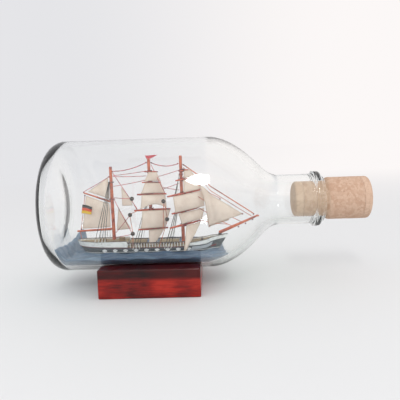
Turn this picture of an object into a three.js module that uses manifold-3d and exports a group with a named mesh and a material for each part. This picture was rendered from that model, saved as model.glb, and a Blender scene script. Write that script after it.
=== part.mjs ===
// Ship in a bottle: a clear glass bottle lying in a varnished cradle, closed by a wine cork,
// with a three-masted barque set in a putty sea inside it.
// Frame: millimetres, +Z up, +X along the bottle towards the cork, origin at the centre of the
// cradle's underside. The viewer's side of the ship is -Y.
import * as THREE from "three";
import { mergeVertices } from "three/addons/utils/BufferGeometryUtils.js";
import Module from "manifold-3d";

const wasm = await Module();
wasm.setup();

// ---- driving dimensions ----
// cradle
const standLength = 54;
const standWidth = 62;
const standHeight = 15.5;
const standCentre = 9; // thickness left under the bottle
const standBevel = 0.8;

// bottle
const bottleRadius = 37;
const glassWall = 2.2;
const baseX = -57;
const heelRadius = 9;
const puntDepth = 3.5;
const baseGlass = 3.6;
const shoulderStart = 33;
const shoulderLength = 39;
const neckRadius = 14.2;
const boreRadius = 10.4;
const lipStart = 91.2;
const lipRadius = 15.6;
const mouthX = 96.9;
const mouthRadius = 12.7;
const cradleGap = 0.25; // glass to trough

// cork
const corkRadius = 12;
const corkLength = 42.2;
const corkInserted = 16.7;
const corkGap = 0.35; // cork to bore
const corkDisc = 4.4;
const corkChamfer = 1.2;
const glueGap = 0.05;

// sea and hull
const seaBelowAxis = 27.5;
const seaEnd = 42;
const seaGap = 0.2; // putty to glass
const hullAft = -43.5;
const hullFore = 43;
const halfBeam = 6.4;
const hullDraught = 1.6;
const sternRake = 4.6; // how far the keel falls short of the deck at each end
const stemRake = 4.2;
const hullGap = 0.3; // hull to putty
const poopFore = -15;
const forecastleAft = 20.6;
const houseWidth = 7;
const deckGap = 0.05;

// rig
const mastRadius = 1.0;
const yardRadius = 0.65;
const threadRadius = 0.2;
const clothThickness = 0.35;
const pieceGap = 0.3; // between turned neighbours
const beadRadius = 1.2;
const mizzenX = -23.3;
const mainX = -1.3;
const foreX = 16.9;
const mizzenTop = 49.3; // mast tops above the waterline
const mainTop = 53.2;
const foreTop = 54.4;
const yardStandoff = halfBeam - 3.5; // mast axis to yard axis, ahead of the shrouds
const mainBrace = 30; // degrees between the yards and the keel
const foreBrace = 35;
const mainTilt = -3; // degrees, far arm down
const foreTilt = 5.5;
const foreCourseLean = halfBeam - 2.1; // carries its foot outside the forecastle

const axisZ = standCentre + cradleGap + bottleRadius;
const innerRadius = bottleRadius - glassWall;
const waterZ = axisZ - seaBelowAxis;

// ---- finishes ----
const finish = (color, roughness, metalness = 0) =>
  new THREE.MeshStandardMaterial({ color, roughness, metalness });
const varnish = finish(0x8d1d16, 0.25);
const clearGlass = finish(0xe6efe8, 0.05);
const naturalCork = finish(0xc8aa93, 0.85);
const discCork = finish(0xd2b294, 0.85);
const putty = finish(0x66788c, 0.6);
const hullPaint = finish(0x4c5357, 0.5);
const whitePaint = finish(0xd8d6d6, 0.5);
const houseWood = finish(0x8a6a4c, 0.7);
const sparStain = finish(0xb35a40, 0.55);
const sailCloth = finish(0xdccfbf, 0.9);
const thread = finish(0x4a4038, 0.8);
const beadPaint = finish(0x2a2018, 0.35);
const flagCloth = finish(0xc8482a, 0.85);
const pennantCloth = finish(0xc23a44, 0.85);

const object = new THREE.Group();

function add(name, geometry, material, parent = object) {
  const mesh = new THREE.Mesh(geometry, material);
  mesh.name = name;
  parent.add(mesh);
  return mesh;
}

// ---- joining and cutting ----
function toSolid(geometry) {
  const bare = geometry.clone();
  bare.deleteAttribute("normal");
  bare.deleteAttribute("uv");
  const welded = mergeVertices(bare, 1e-4);
  return new wasm.Manifold(
    new wasm.Mesh({
      numProp: 3,
      vertProperties: new Float32Array(welded.attributes.position.array),
      triVerts: new Uint32Array(welded.index.array),
    }),
  );
}

function toGeometry(solid) {
  const mesh = solid.getMesh();
  return new THREE.BufferGeometry()
    .setAttribute("position", new THREE.BufferAttribute(mesh.vertProperties, 3))
    .setIndex(new THREE.BufferAttribute(mesh.triVerts, 1));
}

function join(geometries) {
  return toGeometry(geometries.map(toSolid).reduce((a, b) => a.add(b)));
}

// ---- simple forms ----
const point = (x, y, z) => new THREE.Vector3(x, y, z);

// a turned form about the X axis from a profile of [x, radius] pairs
function turned(profile, sides) {
  const geometry = new THREE.LatheGeometry(
    profile.map(([x, r]) => new THREE.Vector2(r, x)),
    sides,
  );
  return geometry.rotateZ(-Math.PI / 2);
}

// a round bar between two points
function bar(from, to, radiusFrom, radiusTo = radiusFrom, sides = 8) {
  const length = from.distanceTo(to);
  const geometry = new THREE.CylinderGeometry(radiusTo, radiusFrom, length, sides);
  const direction = to.clone().sub(from).normalize();
  const turn = new THREE.Quaternion().setFromUnitVectors(point(0, 1, 0), direction);
  const middle = from.clone().add(to).multiplyScalar(0.5);
  return geometry.applyQuaternion(turn).translate(middle.x, middle.y, middle.z);
}

// a thread with a slack belly between two points
function slackThread(from, to, sag, steps = 8) {
  const middle = from.clone().add(to).multiplyScalar(0.5);
  middle.z -= 2 * sag;
  const curve = new THREE.QuadraticBezierCurve3(from, middle, to);
  const section = new THREE.Shape();
  section.absarc(0, 0, threadRadius, 0, 2 * Math.PI, false);
  return new THREE.ExtrudeGeometry(section, { steps, curveSegments: 3, extrudePath: curve });
}

// a box whose points are moved by a formula of u, v and w, each running from 0 to 1
function shapedBox(segments, place) {
  const geometry = new THREE.BoxGeometry(1, 1, 1, ...segments);
  const at = geometry.attributes.position;
  for (let i = 0; i < at.count; i++) {
    const moved = place(at.getX(i) + 0.5, at.getY(i) + 0.5, at.getZ(i) + 0.5);
    at.setXYZ(i, moved.x, moved.y, moved.z);
  }
  return geometry;
}

// a flat sheet of cloth in the ship's own centre plane, from its corners as [x, z]
function flatSheet(corners, y) {
  const outline = new THREE.Shape(corners.map(([x, z]) => new THREE.Vector2(x, z)));
  const settings = { depth: clothThickness, bevelEnabled: false };
  const geometry = new THREE.ExtrudeGeometry(outline, settings);
  return geometry.rotateX(Math.PI / 2).translate(0, y + clothThickness / 2, 0);
}

const mix = THREE.MathUtils.lerp;
const smooth = THREE.MathUtils.smoothstep;
const radians = THREE.MathUtils.degToRad;

// ---- cradle: a block with a trough of the bottle's own radius ----
function cradle() {
  const halfWidth = standWidth / 2;
  const troughRadius = bottleRadius + cradleGap;
  const rise = axisZ - standHeight;
  const edge = Math.sqrt(troughRadius ** 2 - rise ** 2);
  const swing = Math.atan2(edge, rise);
  const end = new THREE.Shape();
  end.moveTo(-halfWidth, 0);
  end.lineTo(halfWidth, 0);
  end.lineTo(halfWidth, standHeight);
  end.lineTo(edge, standHeight);
  end.absarc(0, axisZ, troughRadius, -Math.PI / 2 + swing, -Math.PI / 2 - swing, true);
  end.lineTo(-halfWidth, standHeight);
  end.closePath();
  const geometry = new THREE.ExtrudeGeometry(end, {
    depth: standLength - 2 * standBevel,
    curveSegments: 14,
    bevelThickness: standBevel,
    bevelSize: standBevel,
    bevelOffset: -standBevel,
    bevelSegments: 2,
  });
  geometry.translate(0, 0, -standLength / 2 + standBevel);
  return geometry.rotateX(Math.PI / 2).rotateZ(Math.PI / 2);
}
add("stand", cradle(), varnish);

// ---- bottle ----
const bottleGroup = new THREE.Group();
bottleGroup.position.z = axisZ;
object.add(bottleGroup);

// the shoulder runs from the body radius to the neck radius in two curves that share a slope
function shoulder(bodyRadius, neckEnd, start, length, steps) {
  const fall = bodyRadius - neckEnd;
  const spot = (along, down) => new THREE.Vector2(start + along * length, bodyRadius - down * fall);
  const crown = new THREE.CubicBezierCurve(spot(0, 0), spot(0.21, 0), spot(0.45, 0.27), spot(0.63, 0.57));
  const throat = new THREE.CubicBezierCurve(spot(0.63, 0.57), spot(0.74, 0.755), spot(0.85, 1), spot(1, 1));
  return [...crown.getPoints(steps), ...throat.getPoints(steps).slice(1)].map((p) => [p.x, p.y]);
}

function arcPoints(centreX, centreR, radius, from, to, steps) {
  const points = [];
  for (let i = 0; i <= steps; i++) {
    const angle = mix(from, to, i / steps);
    points.push([centreX + radius * Math.cos(angle), centreR + radius * Math.sin(angle)]);
  }
  return points;
}

const innerHeel = heelRadius - glassWall;
const innerBaseX = baseX + baseGlass;
const floorRadius = innerRadius - innerHeel; // the domed floor inside the heel
const floorDome = puntDepth * 0.8;
const floorAt = (radius) => innerBaseX + floorDome * (1 - radius / floorRadius);
function innerWall() {
  return [
    ...arcPoints(innerBaseX + innerHeel, floorRadius, innerHeel, Math.PI, Math.PI / 2, 5),
    ...shoulder(innerRadius, boreRadius, shoulderStart - glassWall, shoulderLength, 7),
  ];
}

function bottle() {
  const outside = [
    [baseX + puntDepth, 0],
    [baseX + floorDome, (bottleRadius - heelRadius) * 0.45],
    [baseX + 0.5, bottleRadius - heelRadius - 2],
    ...arcPoints(baseX + heelRadius, bottleRadius - heelRadius, heelRadius, Math.PI, Math.PI / 2, 6),
    ...shoulder(bottleRadius, neckRadius, shoulderStart, shoulderLength, 7),
    [lipStart - 1, neckRadius],
    [lipStart, neckRadius],
    [lipStart + 0.7, lipRadius],
    [lipStart + 3.2, lipRadius],
    [mouthX - 1, mix(lipRadius, mouthRadius, 0.65)],
    [mouthX, mouthRadius],
  ];
  const inside = [[mouthX, boreRadius + 0.8], [mouthX - 0.8, boreRadius], ...innerWall().reverse()];
  return turned([...outside, ...inside, [floorAt(0), 0]], 44);
}
add("bottle", bottle(), clearGlass, bottleGroup);

// inner glass radius at a place along the bottle, read off the same wall
const wallPoints = innerWall();
function glassRadiusAt(x) {
  for (let i = 1; i < wallPoints.length; i++) {
    const [x0, r0] = wallPoints[i - 1];
    const [x1, r1] = wallPoints[i];
    if (x <= x1 && x >= x0) return x1 > x0 ? mix(r0, r1, (x - x0) / (x1 - x0)) : Math.min(r0, r1);
  }
  return boreRadius;
}

// ---- cork: an agglomerated body with a natural disc glued to each end ----
const corkGroup = new THREE.Group();
corkGroup.position.set(mouthX - corkInserted, 0, axisZ);
object.add(corkGroup);
const squeezed = boreRadius - corkGap;
const bulge = corkInserted + 0.6;

add(
  "cork_inner_disc",
  turned(
    [
      [0, 0],
      [0, squeezed - corkChamfer],
      [corkChamfer, squeezed],
      [corkDisc, squeezed],
      [corkDisc, 0],
    ],
    32,
  ),
  discCork,
  corkGroup,
);
add(
  "cork_body",
  turned(
    [
      [corkDisc + glueGap, 0],
      [corkDisc + glueGap, squeezed],
      [bulge, squeezed],
      [bulge + 0.9, mix(squeezed, corkRadius, 0.7)],
      [bulge + 2.4, corkRadius],
      [corkLength - corkDisc - glueGap, corkRadius],
      [corkLength - corkDisc - glueGap, 0],
    ],
    32,
  ),
  naturalCork,
  corkGroup,
);
add(
  "cork_outer_disc",
  turned(
    [
      [corkLength - corkDisc, 0],
      [corkLength - corkDisc, corkRadius],
      [corkLength - corkChamfer, corkRadius],
      [corkLength - 0.3, corkRadius - corkChamfer],
      [corkLength, 0],
    ],
    32,
  ),
  discCork,
  corkGroup,
);

// ---- ship: heights from here on are above the waterline ----
const ship = new THREE.Group();
ship.position.z = waterZ;
object.add(ship);

// half breadth of the hull: full amidships, rounded at the stern, sharp at the bow
function breadthAt(x) {
  const aft = (x - hullAft) / 15;
  const fore = (hullFore - x) / 26;
  const run = Math.sqrt(Math.max(1 - (1 - Math.min(aft, 1)) ** 2, 0));
  const entry = Math.sin((Math.PI / 2) * Math.min(fore, 1));
  return halfBeam * Math.max(run * entry, 0.06);
}

// top of the dark hull: low in the waist, higher at both ends
const sheerAt = (x) => 3.1 + 1.3 * ((x - 2) / 45) ** 2 + 1.9 * smooth(x, 26, hullFore);

// a length of the hull between two levels; below the sheer the ends rake in
function hullBlock(from, to, bottom, top, widen) {
  return shapedBox([26, 3, 4], (u, v, w) => {
    const rakeAft = sternRake * (1 - v) * (1 - u);
    const rakeFore = stemRake * (1 - v) * u;
    const x = mix(from, to, u) + rakeAft - rakeFore;
    const atTop = mix(from, to, u);
    const flare = mix(0.86, 1, v);
    const y = (2 * w - 1) * (breadthAt(atTop) * flare + widen);
    return point(x, -y, mix(bottom(atTop), top(atTop), v));
  });
}
const keelAt = () => -hullDraught;
add("hull", hullBlock(hullAft, hullFore, keelAt, sheerAt, 0), hullPaint, ship);

// the white-sided end decks stand on the hull
const poopAt = (x) => 6.7 + 0.4 * smooth(-x, 30, 44);
const forecastleAt = (x) => mix(4.6, 8.6, smooth(x, forecastleAft - 6, hullFore + 6));
function endDeck(from, to, top, rakeAft, rakeFore) {
  return shapedBox([10, 1, 2], (u, v, w) => {
    const x = mix(from, to, u);
    const y = (2 * w - 1) * (breadthAt(x) - 0.05);
    const z = mix(sheerAt(x) + deckGap, top(x), v);
    return point(x - rakeAft * v * (1 - u) + rakeFore * v * u, -y, z);
  });
}
add("poop", endDeck(hullAft, poopFore, poopAt, 1, 0), whitePaint, ship);
add("forecastle", endDeck(forecastleAft, hullFore, forecastleAt, 0, 1.2), whitePaint, ship);

// deckhouses in the waist
function house(from, to, width, height) {
  const base = Math.max(sheerAt(from), sheerAt(to)) + deckGap;
  const geometry = new THREE.BoxGeometry(to - from, width, height);
  return geometry.translate((from + to) / 2, 0, base + height / 2);
}
add("aft_deckhouse", house(-13.6, -4.6, houseWidth, 2.6), houseWood, ship);
add("midship_deckhouse", house(3.6, 14.2, houseWidth, 2.4), houseWood, ship);

// ---- sea: putty pressed against the glass, cut away around the hull ----
const swellRoom = 2; // the lowest the sea's surface reaches above the waterline at the floor
const seaStart = floorAt(seaBelowAxis - swellRoom) + seaGap;
function seaTop(x, y) {
  const swell = 0.35 * Math.sin(x * 0.42 + y * 0.2) + 0.25 * Math.sin(y * 0.7 - x * 0.16);
  const bank = 2.2 * smooth(Math.abs(y), 12, 24);
  const heap = 6 * smooth(-x, -hullAft + 1, -hullAft + 5) - 5 * smooth(-x, -hullAft + 6, -seaStart);
  return swell + bank + Math.max(heap, -2);
}

function sea() {
  const clear = glassWall / 10 + seaGap;
  const body = shapedBox([26, 1, 14], (u, v, w) => {
    const x = mix(seaStart, seaEnd, u);
    const radius = glassRadiusAt(x) - clear;
    const level = seaTop(x, 20) - seaBelowAxis;
    const reach = Math.sqrt(radius ** 2 - level ** 2) * 0.985;
    const y = (2 * w - 1) * reach;
    const low = -Math.sqrt(radius ** 2 - y ** 2) + seaBelowAxis;
    const high = Math.max(seaTop(x, y), low + 0.6);
    return point(x, -y, mix(low, high, v));
  });
  const pocketFloor = () => keelAt() - hullGap;
  const pocketAft = hullAft - hullGap;
  const pocketFore = hullFore + hullGap;
  const pocket = hullBlock(pocketAft, pocketFore, pocketFloor, sheerAt, hullGap);
  return toGeometry(toSolid(body).subtract(toSolid(pocket)));
}
add("sea", sea(), putty, ship);

// ---- masts and bowsprit ----
const deckAt = { mizzen: poopAt(mizzenX), main: sheerAt(mainX), fore: sheerAt(foreX) };
function mast(x, foot, top) {
  return bar(point(x, 0, foot + deckGap), point(x, 0, top), mastRadius, mastRadius * 0.85, 10);
}
add("mizzen_mast", mast(mizzenX, deckAt.mizzen, mizzenTop), sparStain, ship);
add("main_mast", mast(mainX, deckAt.main, mainTop), sparStain, ship);
add("fore_mast", mast(foreX, deckAt.fore, foreTop), sparStain, ship);

const bowspritFoot = point(39.6, 0, forecastleAt(39.6) + 1.3);
const bowspritTip = point(60.5, 0, 18.6);
add("bowsprit", bar(bowspritFoot, bowspritTip, 0.95, 0.6, 10), sparStain, ship);

// ---- mizzen: gaff, boom and their sails ----
const mizzenFace = mizzenX - mastRadius - pieceGap;
const gaffHeel = point(mizzenFace, 0, 29.3);
const gaffPeak = point(-39.6, 0, 34.8);
const boomHeel = point(mizzenFace, 0, 13.1);
const boomEnd = point(-44.6, 0, 12.4);
add("gaff", bar(gaffHeel, gaffPeak, 0.6, 0.4), sparStain, ship);
add("boom", bar(boomHeel, boomEnd, 0.7, 0.5), sparStain, ship);

const leechX = -38.2;
add(
  "gaff_topsail",
  flatSheet([[mizzenFace - 0.4, 31], [mizzenFace - 0.4, 43], [leechX + 1.2, 35.4]], 0),
  sailCloth,
  ship,
);
add(
  "spanker",
  flatSheet([[mizzenFace - 0.4, 14.4], [mizzenFace - 0.4, 27.9], [leechX, 33], [-41.4, 13.8]], 0),
  sailCloth,
  ship,
);
add(
  "mizzen_staysail",
  flatSheet([[-17.6, 26.6], [-17.6, 37.4], [-12.6, 30.4], [-11.6, 26.6]], 0),
  sailCloth,
  ship,
);
add("main_staysail", flatSheet([[-21.5, 12.4], [-19.9, 25.4], [-13.2, 13]], 0), sailCloth, ship);

// ---- square-rigged masts: yards and sails in a group turned to the brace angle ----
// A sail's head and foot are each [shift along the yard, half width]; lean carries the foot forward.
function squareSail({ head, foot, top, bottom, belly, arch = 0.3, lean = 0 }) {
  return shapedBox([6, 5, 1], (u, v, w) => {
    const across = 2 * u - 1;
    const down = 1 - v;
    const half = mix(head[1], foot[1], down);
    const fullness = Math.sin(Math.PI * Math.min(down * 0.62 + 0.08, 1)) * (1 - across ** 2 * 0.75);
    const rise = arch * down ** 2 * (1 - across ** 2);
    const y = -belly * fullness - lean * down - w * clothThickness;
    return point(mix(head[0], foot[0], down) + across * half, y, (bottom - top) * down + rise);
  });
}

function rigMast(x, brace, tilt, yards, sails) {
  const group = new THREE.Group();
  group.position.x = x;
  group.rotation.z = radians(brace);
  ship.add(group);
  const levelAt = (height, forward) => {
    const level = new THREE.Group();
    level.position.set(0, -yardStandoff - forward, height);
    level.rotation.y = -radians(tilt);
    group.add(level);
    return level;
  };
  for (const { name, height, half, radius = yardRadius } of yards) {
    add(name, bar(point(-half, 0, 0), point(half, 0, 0), radius), sparStain, levelAt(height, 0));
  }
  for (const sail of sails) {
    add(sail.name, squareSail(sail), sailCloth, levelAt(sail.top, yardRadius + pieceGap));
  }
}

rigMast(
  mainX,
  mainBrace,
  mainTilt,
  [
    { name: "main_skysail_yard", height: 45.8, half: 4.2, radius: 0.45 },
    { name: "main_royal_yard", height: 39.8, half: 5.8, radius: 0.5 },
    { name: "main_topgallant_yard", height: 33, half: 9 },
    { name: "main_topsail_yard", height: 24.1, half: 11.2 },
    { name: "main_course_yard", height: 13.1, half: 9.2 },
  ],
  [
    { name: "main_royal", head: [0.4, 2.4], foot: [0.4, 5], top: 45.6, bottom: 40.4, belly: 0.9 },
    { name: "main_topgallant", head: [0.4, 4.8], foot: [0.4, 7.4], top: 39.6, bottom: 33.6, belly: 1.4 },
    {
      name: "main_upper_topsail",
      head: [0.4, 7.2],
      foot: [0.4, 8],
      top: 32.8,
      bottom: 24.7,
      belly: 2,
      arch: 2.8,
    },
    { name: "main_topsail", head: [1.8, 8.6], foot: [-0.5, 7.3], top: 23.9, bottom: 13.8, belly: 2.4 },
    { name: "main_course", head: [1.5, 4.9], foot: [-1.7, 1.5], top: 12.9, bottom: 3.9, belly: 0.9 },
  ],
);

rigMast(
  foreX,
  foreBrace,
  foreTilt,
  [
    { name: "fore_skysail_yard", height: 46, half: 3.3, radius: 0.45 },
    { name: "fore_royal_yard", height: 41, half: 5.6, radius: 0.5 },
    { name: "fore_topgallant_yard", height: 33, half: 11.2 },
    { name: "fore_topsail_yard", height: 22.9, half: 8.8 },
    { name: "fore_course_yard", height: 15.1, half: 10.4 },
  ],
  [
    { name: "fore_royal", head: [1.6, 2.2], foot: [2.6, 3.6], top: 45.8, bottom: 41.6, belly: 0.9 },
    { name: "fore_topgallant", head: [2.6, 3.8], foot: [4.4, 6.4], top: 40.8, bottom: 33.7, belly: 1.8 },
    { name: "fore_upper_topsail", head: [1.6, 10], foot: [1.6, 10], top: 32.6, bottom: 23.5, belly: 2.8 },
    { name: "fore_topsail", head: [3.6, 8.8], foot: [3, 7], top: 22.4, bottom: 15.9, belly: 1.8, arch: 0.8 },
    {
      name: "fore_course",
      head: [5, 5],
      foot: [-5.5, 0.8],
      top: 14.6,
      bottom: 1.8,
      belly: 1,
      lean: foreCourseLean,
    },
  ],
);

// ---- head sails on the stays ----
add("jib", flatSheet([[27.4, 37.4], [52.2, 19.8], [33.6, 13.2]], -0.5), sailCloth, ship);
add("inner_jib", flatSheet([[29.4, 30.6], [45.2, 16.4], [32.8, 12.2]], 0.4), sailCloth, ship);

// ---- shrouds: each mast's lines joined in one loop below its head ----
function shrouds(x, loopZ, mastFace, feet, footLevel) {
  const loopRadius = mastFace + pieceGap + threadRadius;
  const ring = new THREE.TorusGeometry(loopRadius, threadRadius, 6, 14).translate(x, 0, loopZ);
  const pieces = [ring];
  for (const side of [-1, 1]) {
    for (const footX of feet) {
      const reach = breadthAt(footX) + pieceGap + 2 * threadRadius;
      const lean = Math.atan2(side * reach, footX - x);
      const start = point(x + loopRadius * Math.cos(lean), loopRadius * Math.sin(lean), loopZ);
      const foot = point(footX, side * reach, footLevel(footX) - 1.2);
      pieces.push(bar(start, foot, threadRadius, threadRadius, 6));
    }
  }
  return join(pieces);
}
const mizzenFeet = [-33.4, -31.2, -29.2, -27.4];
const mainFeet = [-11.6, -9.8, -8];
const foreFeet = [6.4, 8.2, 10];
add("mizzen_shrouds", shrouds(mizzenX, 40.4, mastRadius * 0.9, mizzenFeet, poopAt), thread, ship);
add("main_shrouds", shrouds(mainX, 31.2, mastRadius, mainFeet, sheerAt), thread, ship);
add("fore_shrouds", shrouds(foreX, 31.2, mastRadius, foreFeet, sheerAt), thread, ship);

// ---- stays and halyards ----
const clearOf = mastRadius + pieceGap;
add(
  "mizzen_main_stay",
  slackThread(point(mizzenX + clearOf, 0, 46.6), point(mainX - clearOf, 0, 51), 1.2),
  thread,
  ship,
);
add(
  "main_fore_stay",
  slackThread(point(mainX + clearOf, 0, 50.8), point(foreX - clearOf, 0, 49.8), 1.6),
  thread,
  ship,
);
add(
  "flag_halyard",
  slackThread(point(leechX - 0.7, 0, 33.2), point(-42.2, 0, 13.6), 0.1, 4),
  thread,
  ship,
);
add(
  "head_stay",
  slackThread(point(foreX + clearOf, 0, 49.2), point(58.2, 0, 19.6), 0.1, 6),
  thread,
  ship,
);

// ---- beads that serve as blocks at the near yard arms ----
const beads = [
  [-10.4, -8.6, 31.4],
  [-11.8, -9, 22.4],
  [-10.9, -8.4, 11.6],
  [7.2, -9.6, 29.6],
  [8.8, -9, 19.4],
];
beads.forEach(([x, y, z], i) => {
  const ball = new THREE.SphereGeometry(beadRadius, 12, 8);
  add("bead_" + (i + 1), ball.rotateX(Math.PI / 2).translate(x, y, z), beadPaint, ship);
});

// ---- flag on its halyard, pennant at the main masthead ----
function streamer(corners, wave) {
  const [hoistLow, hoistHigh, flyHigh, flyLow] = corners;
  return shapedBox([6, 3, 1], (u, v, w) => {
    const x = mix(mix(hoistLow[0], hoistHigh[0], v), mix(flyLow[0], flyHigh[0], v), u);
    const z = mix(mix(hoistLow[1], hoistHigh[1], v), mix(flyLow[1], flyHigh[1], v), u);
    return point(x, -1 + wave * Math.sin(u * Math.PI * 1.6) - w * clothThickness, z);
  });
}
const flagCorners = [[-41.2, 23], [-40.3, 28.1], [-34.8, 26.7], [-35.4, 22.3]];
add("flag", streamer(flagCorners, 0.4), flagCloth, ship);
const pennantFoot = mainTop + deckGap;
const pennantHead = pennantFoot + 1.85;
add(
  "pennant",
  flatSheet(
    [
      [mainX - 1.2, pennantFoot],
      [mainX - 1.9, pennantHead],
      [mainX + 5.2, pennantHead],
      [mainX + 1.2, pennantFoot],
    ],
    0,
  ),
  pennantCloth,
  ship,
);

export default object;
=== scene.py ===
# Ship in a bottle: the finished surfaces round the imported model. Metres, +Z up, +X towards the cork.
import math

import bmesh
import bpy
import numpy as np
from mathutils import Matrix, Vector, noise


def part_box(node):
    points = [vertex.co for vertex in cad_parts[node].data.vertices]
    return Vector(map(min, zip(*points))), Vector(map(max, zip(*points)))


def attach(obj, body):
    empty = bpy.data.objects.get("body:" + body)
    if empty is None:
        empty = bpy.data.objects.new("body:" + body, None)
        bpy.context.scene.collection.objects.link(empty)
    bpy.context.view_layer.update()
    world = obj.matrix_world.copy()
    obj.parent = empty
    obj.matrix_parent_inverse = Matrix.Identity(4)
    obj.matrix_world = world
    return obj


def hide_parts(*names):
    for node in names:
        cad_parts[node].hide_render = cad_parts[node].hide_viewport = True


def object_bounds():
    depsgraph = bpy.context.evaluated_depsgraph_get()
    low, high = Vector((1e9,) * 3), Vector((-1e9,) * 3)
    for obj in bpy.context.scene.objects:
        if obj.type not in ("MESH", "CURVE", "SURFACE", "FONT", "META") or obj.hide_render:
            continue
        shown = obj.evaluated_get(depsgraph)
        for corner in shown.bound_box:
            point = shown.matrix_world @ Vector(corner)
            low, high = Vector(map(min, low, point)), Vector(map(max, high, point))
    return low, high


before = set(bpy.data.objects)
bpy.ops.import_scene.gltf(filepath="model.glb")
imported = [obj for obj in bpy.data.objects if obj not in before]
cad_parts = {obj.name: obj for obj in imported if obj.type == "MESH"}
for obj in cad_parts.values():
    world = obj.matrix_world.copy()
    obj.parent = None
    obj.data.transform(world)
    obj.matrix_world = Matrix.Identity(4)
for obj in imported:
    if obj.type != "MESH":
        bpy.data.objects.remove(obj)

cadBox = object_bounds()
mm = 0.001

# Camera, lights and stage.
cameraView = {"lens": 41.28, "place": (33.36, -262.04, 78.3), "turn": 1.332, "down": 6.744, "roll": -1.89}


def placeCamera():
    data = bpy.data.cameras.new("camera")
    data.lens = cameraView["lens"]
    data.clip_start = 0.01
    data.clip_end = 60
    camera = bpy.data.objects.new("camera", data)
    turn = Matrix.Rotation(math.radians(cameraView["turn"]), 4, "Z")
    tip = Matrix.Rotation(math.radians(90 - cameraView["down"]), 4, "X")
    roll = Matrix.Rotation(math.radians(cameraView["roll"]), 4, "Z")
    camera.matrix_world = Matrix.Translation(Vector(cameraView["place"]) * mm) @ turn @ tip @ roll
    bpy.context.scene.collection.objects.link(camera)
    bpy.context.scene.camera = camera


placeCamera()
print("camera placed")


def linear(hexColour):  # an sRGB hex colour as the linear one that shaders take
    parts = [int(hexColour[i:i + 2], 16) / 255 for i in (1, 3, 5)]
    return tuple(c / 12.92 if c <= 0.04045 else ((c + 0.055) / 1.055) ** 2.4 for c in parts) + (1.0,)


# Adds one node. settings are its own properties, with "ramp" for a colour ramp's stops, and inputs are
# values or other nodes' sockets, by name or by number.
def addNode(tree, kind, settings=None, inputs=None):
    made = tree.nodes.new(kind)
    for name, value in (settings or {}).items():
        if name == "ramp":
            stops = made.color_ramp.elements
            while len(stops) < len(value):
                stops.new(0.5)
            for stop, (place, colour) in zip(stops, value):
                stop.position = place
                stop.color = linear(colour)
        else:
            setattr(made, name, value)
    for name, value in (inputs or {}).items():
        if isinstance(name, int):
            socket = made.inputs[name]
        else:
            socket = next(s for s in made.inputs if s.name == name and s.enabled)
        if isinstance(value, bpy.types.NodeSocket):
            tree.links.new(value, socket)
        else:
            socket.default_value = value
    return made


stageLook = {
    "floor": "#dfe0e1",
    "skyLeft": "#e6e6e9",
    "skyRight": "#fdf9f8",
    "skyBehindViewer": "#ffffff",
    "skyStrength": 0.99,
    "frontStrength": 1.25,
    "horizonFade": (0.12, 1.1),
    "keyPlace": (26, -530, 560),
    "keySize": (84, 250),
    "keyWatts": 0.9,
}


def skyColour(tree, across):  # cooler on the left, warmer and lighter on the right
    share = addNode(tree, "ShaderNodeMapRange", {"interpolation_type": "SMOOTHSTEP"},
                    {0: across, 1: -0.32, 2: 0.30})
    return addNode(tree, "ShaderNodeMix", {"data_type": "RGBA"}, {
        "Factor": share.outputs[0], "A": linear(stageLook["skyLeft"]), "B": linear(stageLook["skyRight"]),
    }).outputs[2]


def buildSky():
    world = bpy.data.worlds.new("studio")
    bpy.context.scene.world = world
    world.use_nodes = True
    tree = world.node_tree
    tree.nodes.clear()
    way = addNode(tree, "ShaderNodeTexCoord").outputs["Generated"]
    apart = addNode(tree, "ShaderNodeSeparateXYZ", inputs={"Vector": way})
    nearer = addNode(tree, "ShaderNodeMapRange", {"interpolation_type": "SMOOTHSTEP"}, {
        0: apart.outputs["Y"], 1: 0.35, 2: -0.65,
    })
    both = addNode(tree, "ShaderNodeMix", {"data_type": "RGBA"}, {
        "Factor": nearer.outputs[0], "A": skyColour(tree, apart.outputs["X"]),
        "B": linear(stageLook["skyBehindViewer"]),
    })
    strength = addNode(tree, "ShaderNodeMapRange", inputs={
        0: nearer.outputs[0], 3: stageLook["skyStrength"], 4: stageLook["frontStrength"],
    })
    light = addNode(tree, "ShaderNodeBackground",
                    inputs={"Color": both.outputs[2], "Strength": strength.outputs[0]})
    addNode(tree, "ShaderNodeOutputWorld", inputs={"Surface": light.outputs[0]})


# Matt white paper that runs into the lit background, so that no edge shows behind the bottle.
def floorPaper():
    paper = bpy.data.materials.new("matte_white_paper")
    paper.use_nodes = True
    tree = paper.node_tree
    shader = tree.nodes["Principled BSDF"]
    shader.inputs["Base Color"].default_value = linear(stageLook["floor"])
    shader.inputs["Roughness"].default_value = 0.6
    coords = addNode(tree, "ShaderNodeTexCoord").outputs["Object"]
    apart = addNode(tree, "ShaderNodeSeparateXYZ", inputs={"Vector": coords})
    away = addNode(tree, "ShaderNodeMath", {"operation": "MAXIMUM"}, {0: apart.outputs["Y"], 1: 0.05})
    across = addNode(tree, "ShaderNodeMath", {"operation": "DIVIDE"},
                     {0: apart.outputs["X"], 1: away.outputs[0]})
    narrowed = addNode(tree, "ShaderNodeMath", {"operation": "MULTIPLY"}, {0: across.outputs[0], 1: 0.8})
    lit = addNode(tree, "ShaderNodeEmission", inputs={
        "Color": skyColour(tree, narrowed.outputs[0]), "Strength": stageLook["skyStrength"],
    })
    near, far = stageLook["horizonFade"]
    fade = addNode(tree, "ShaderNodeMapRange", {"interpolation_type": "SMOOTHSTEP"},
                   {0: apart.outputs["Y"], 1: near, 2: far})
    both = addNode(tree, "ShaderNodeMixShader",
                   inputs={0: fade.outputs[0], 1: shader.outputs[0], 2: lit.outputs[0]})
    tree.links.new(both.outputs[0], tree.nodes["Material Output"].inputs["Surface"])
    return paper


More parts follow.
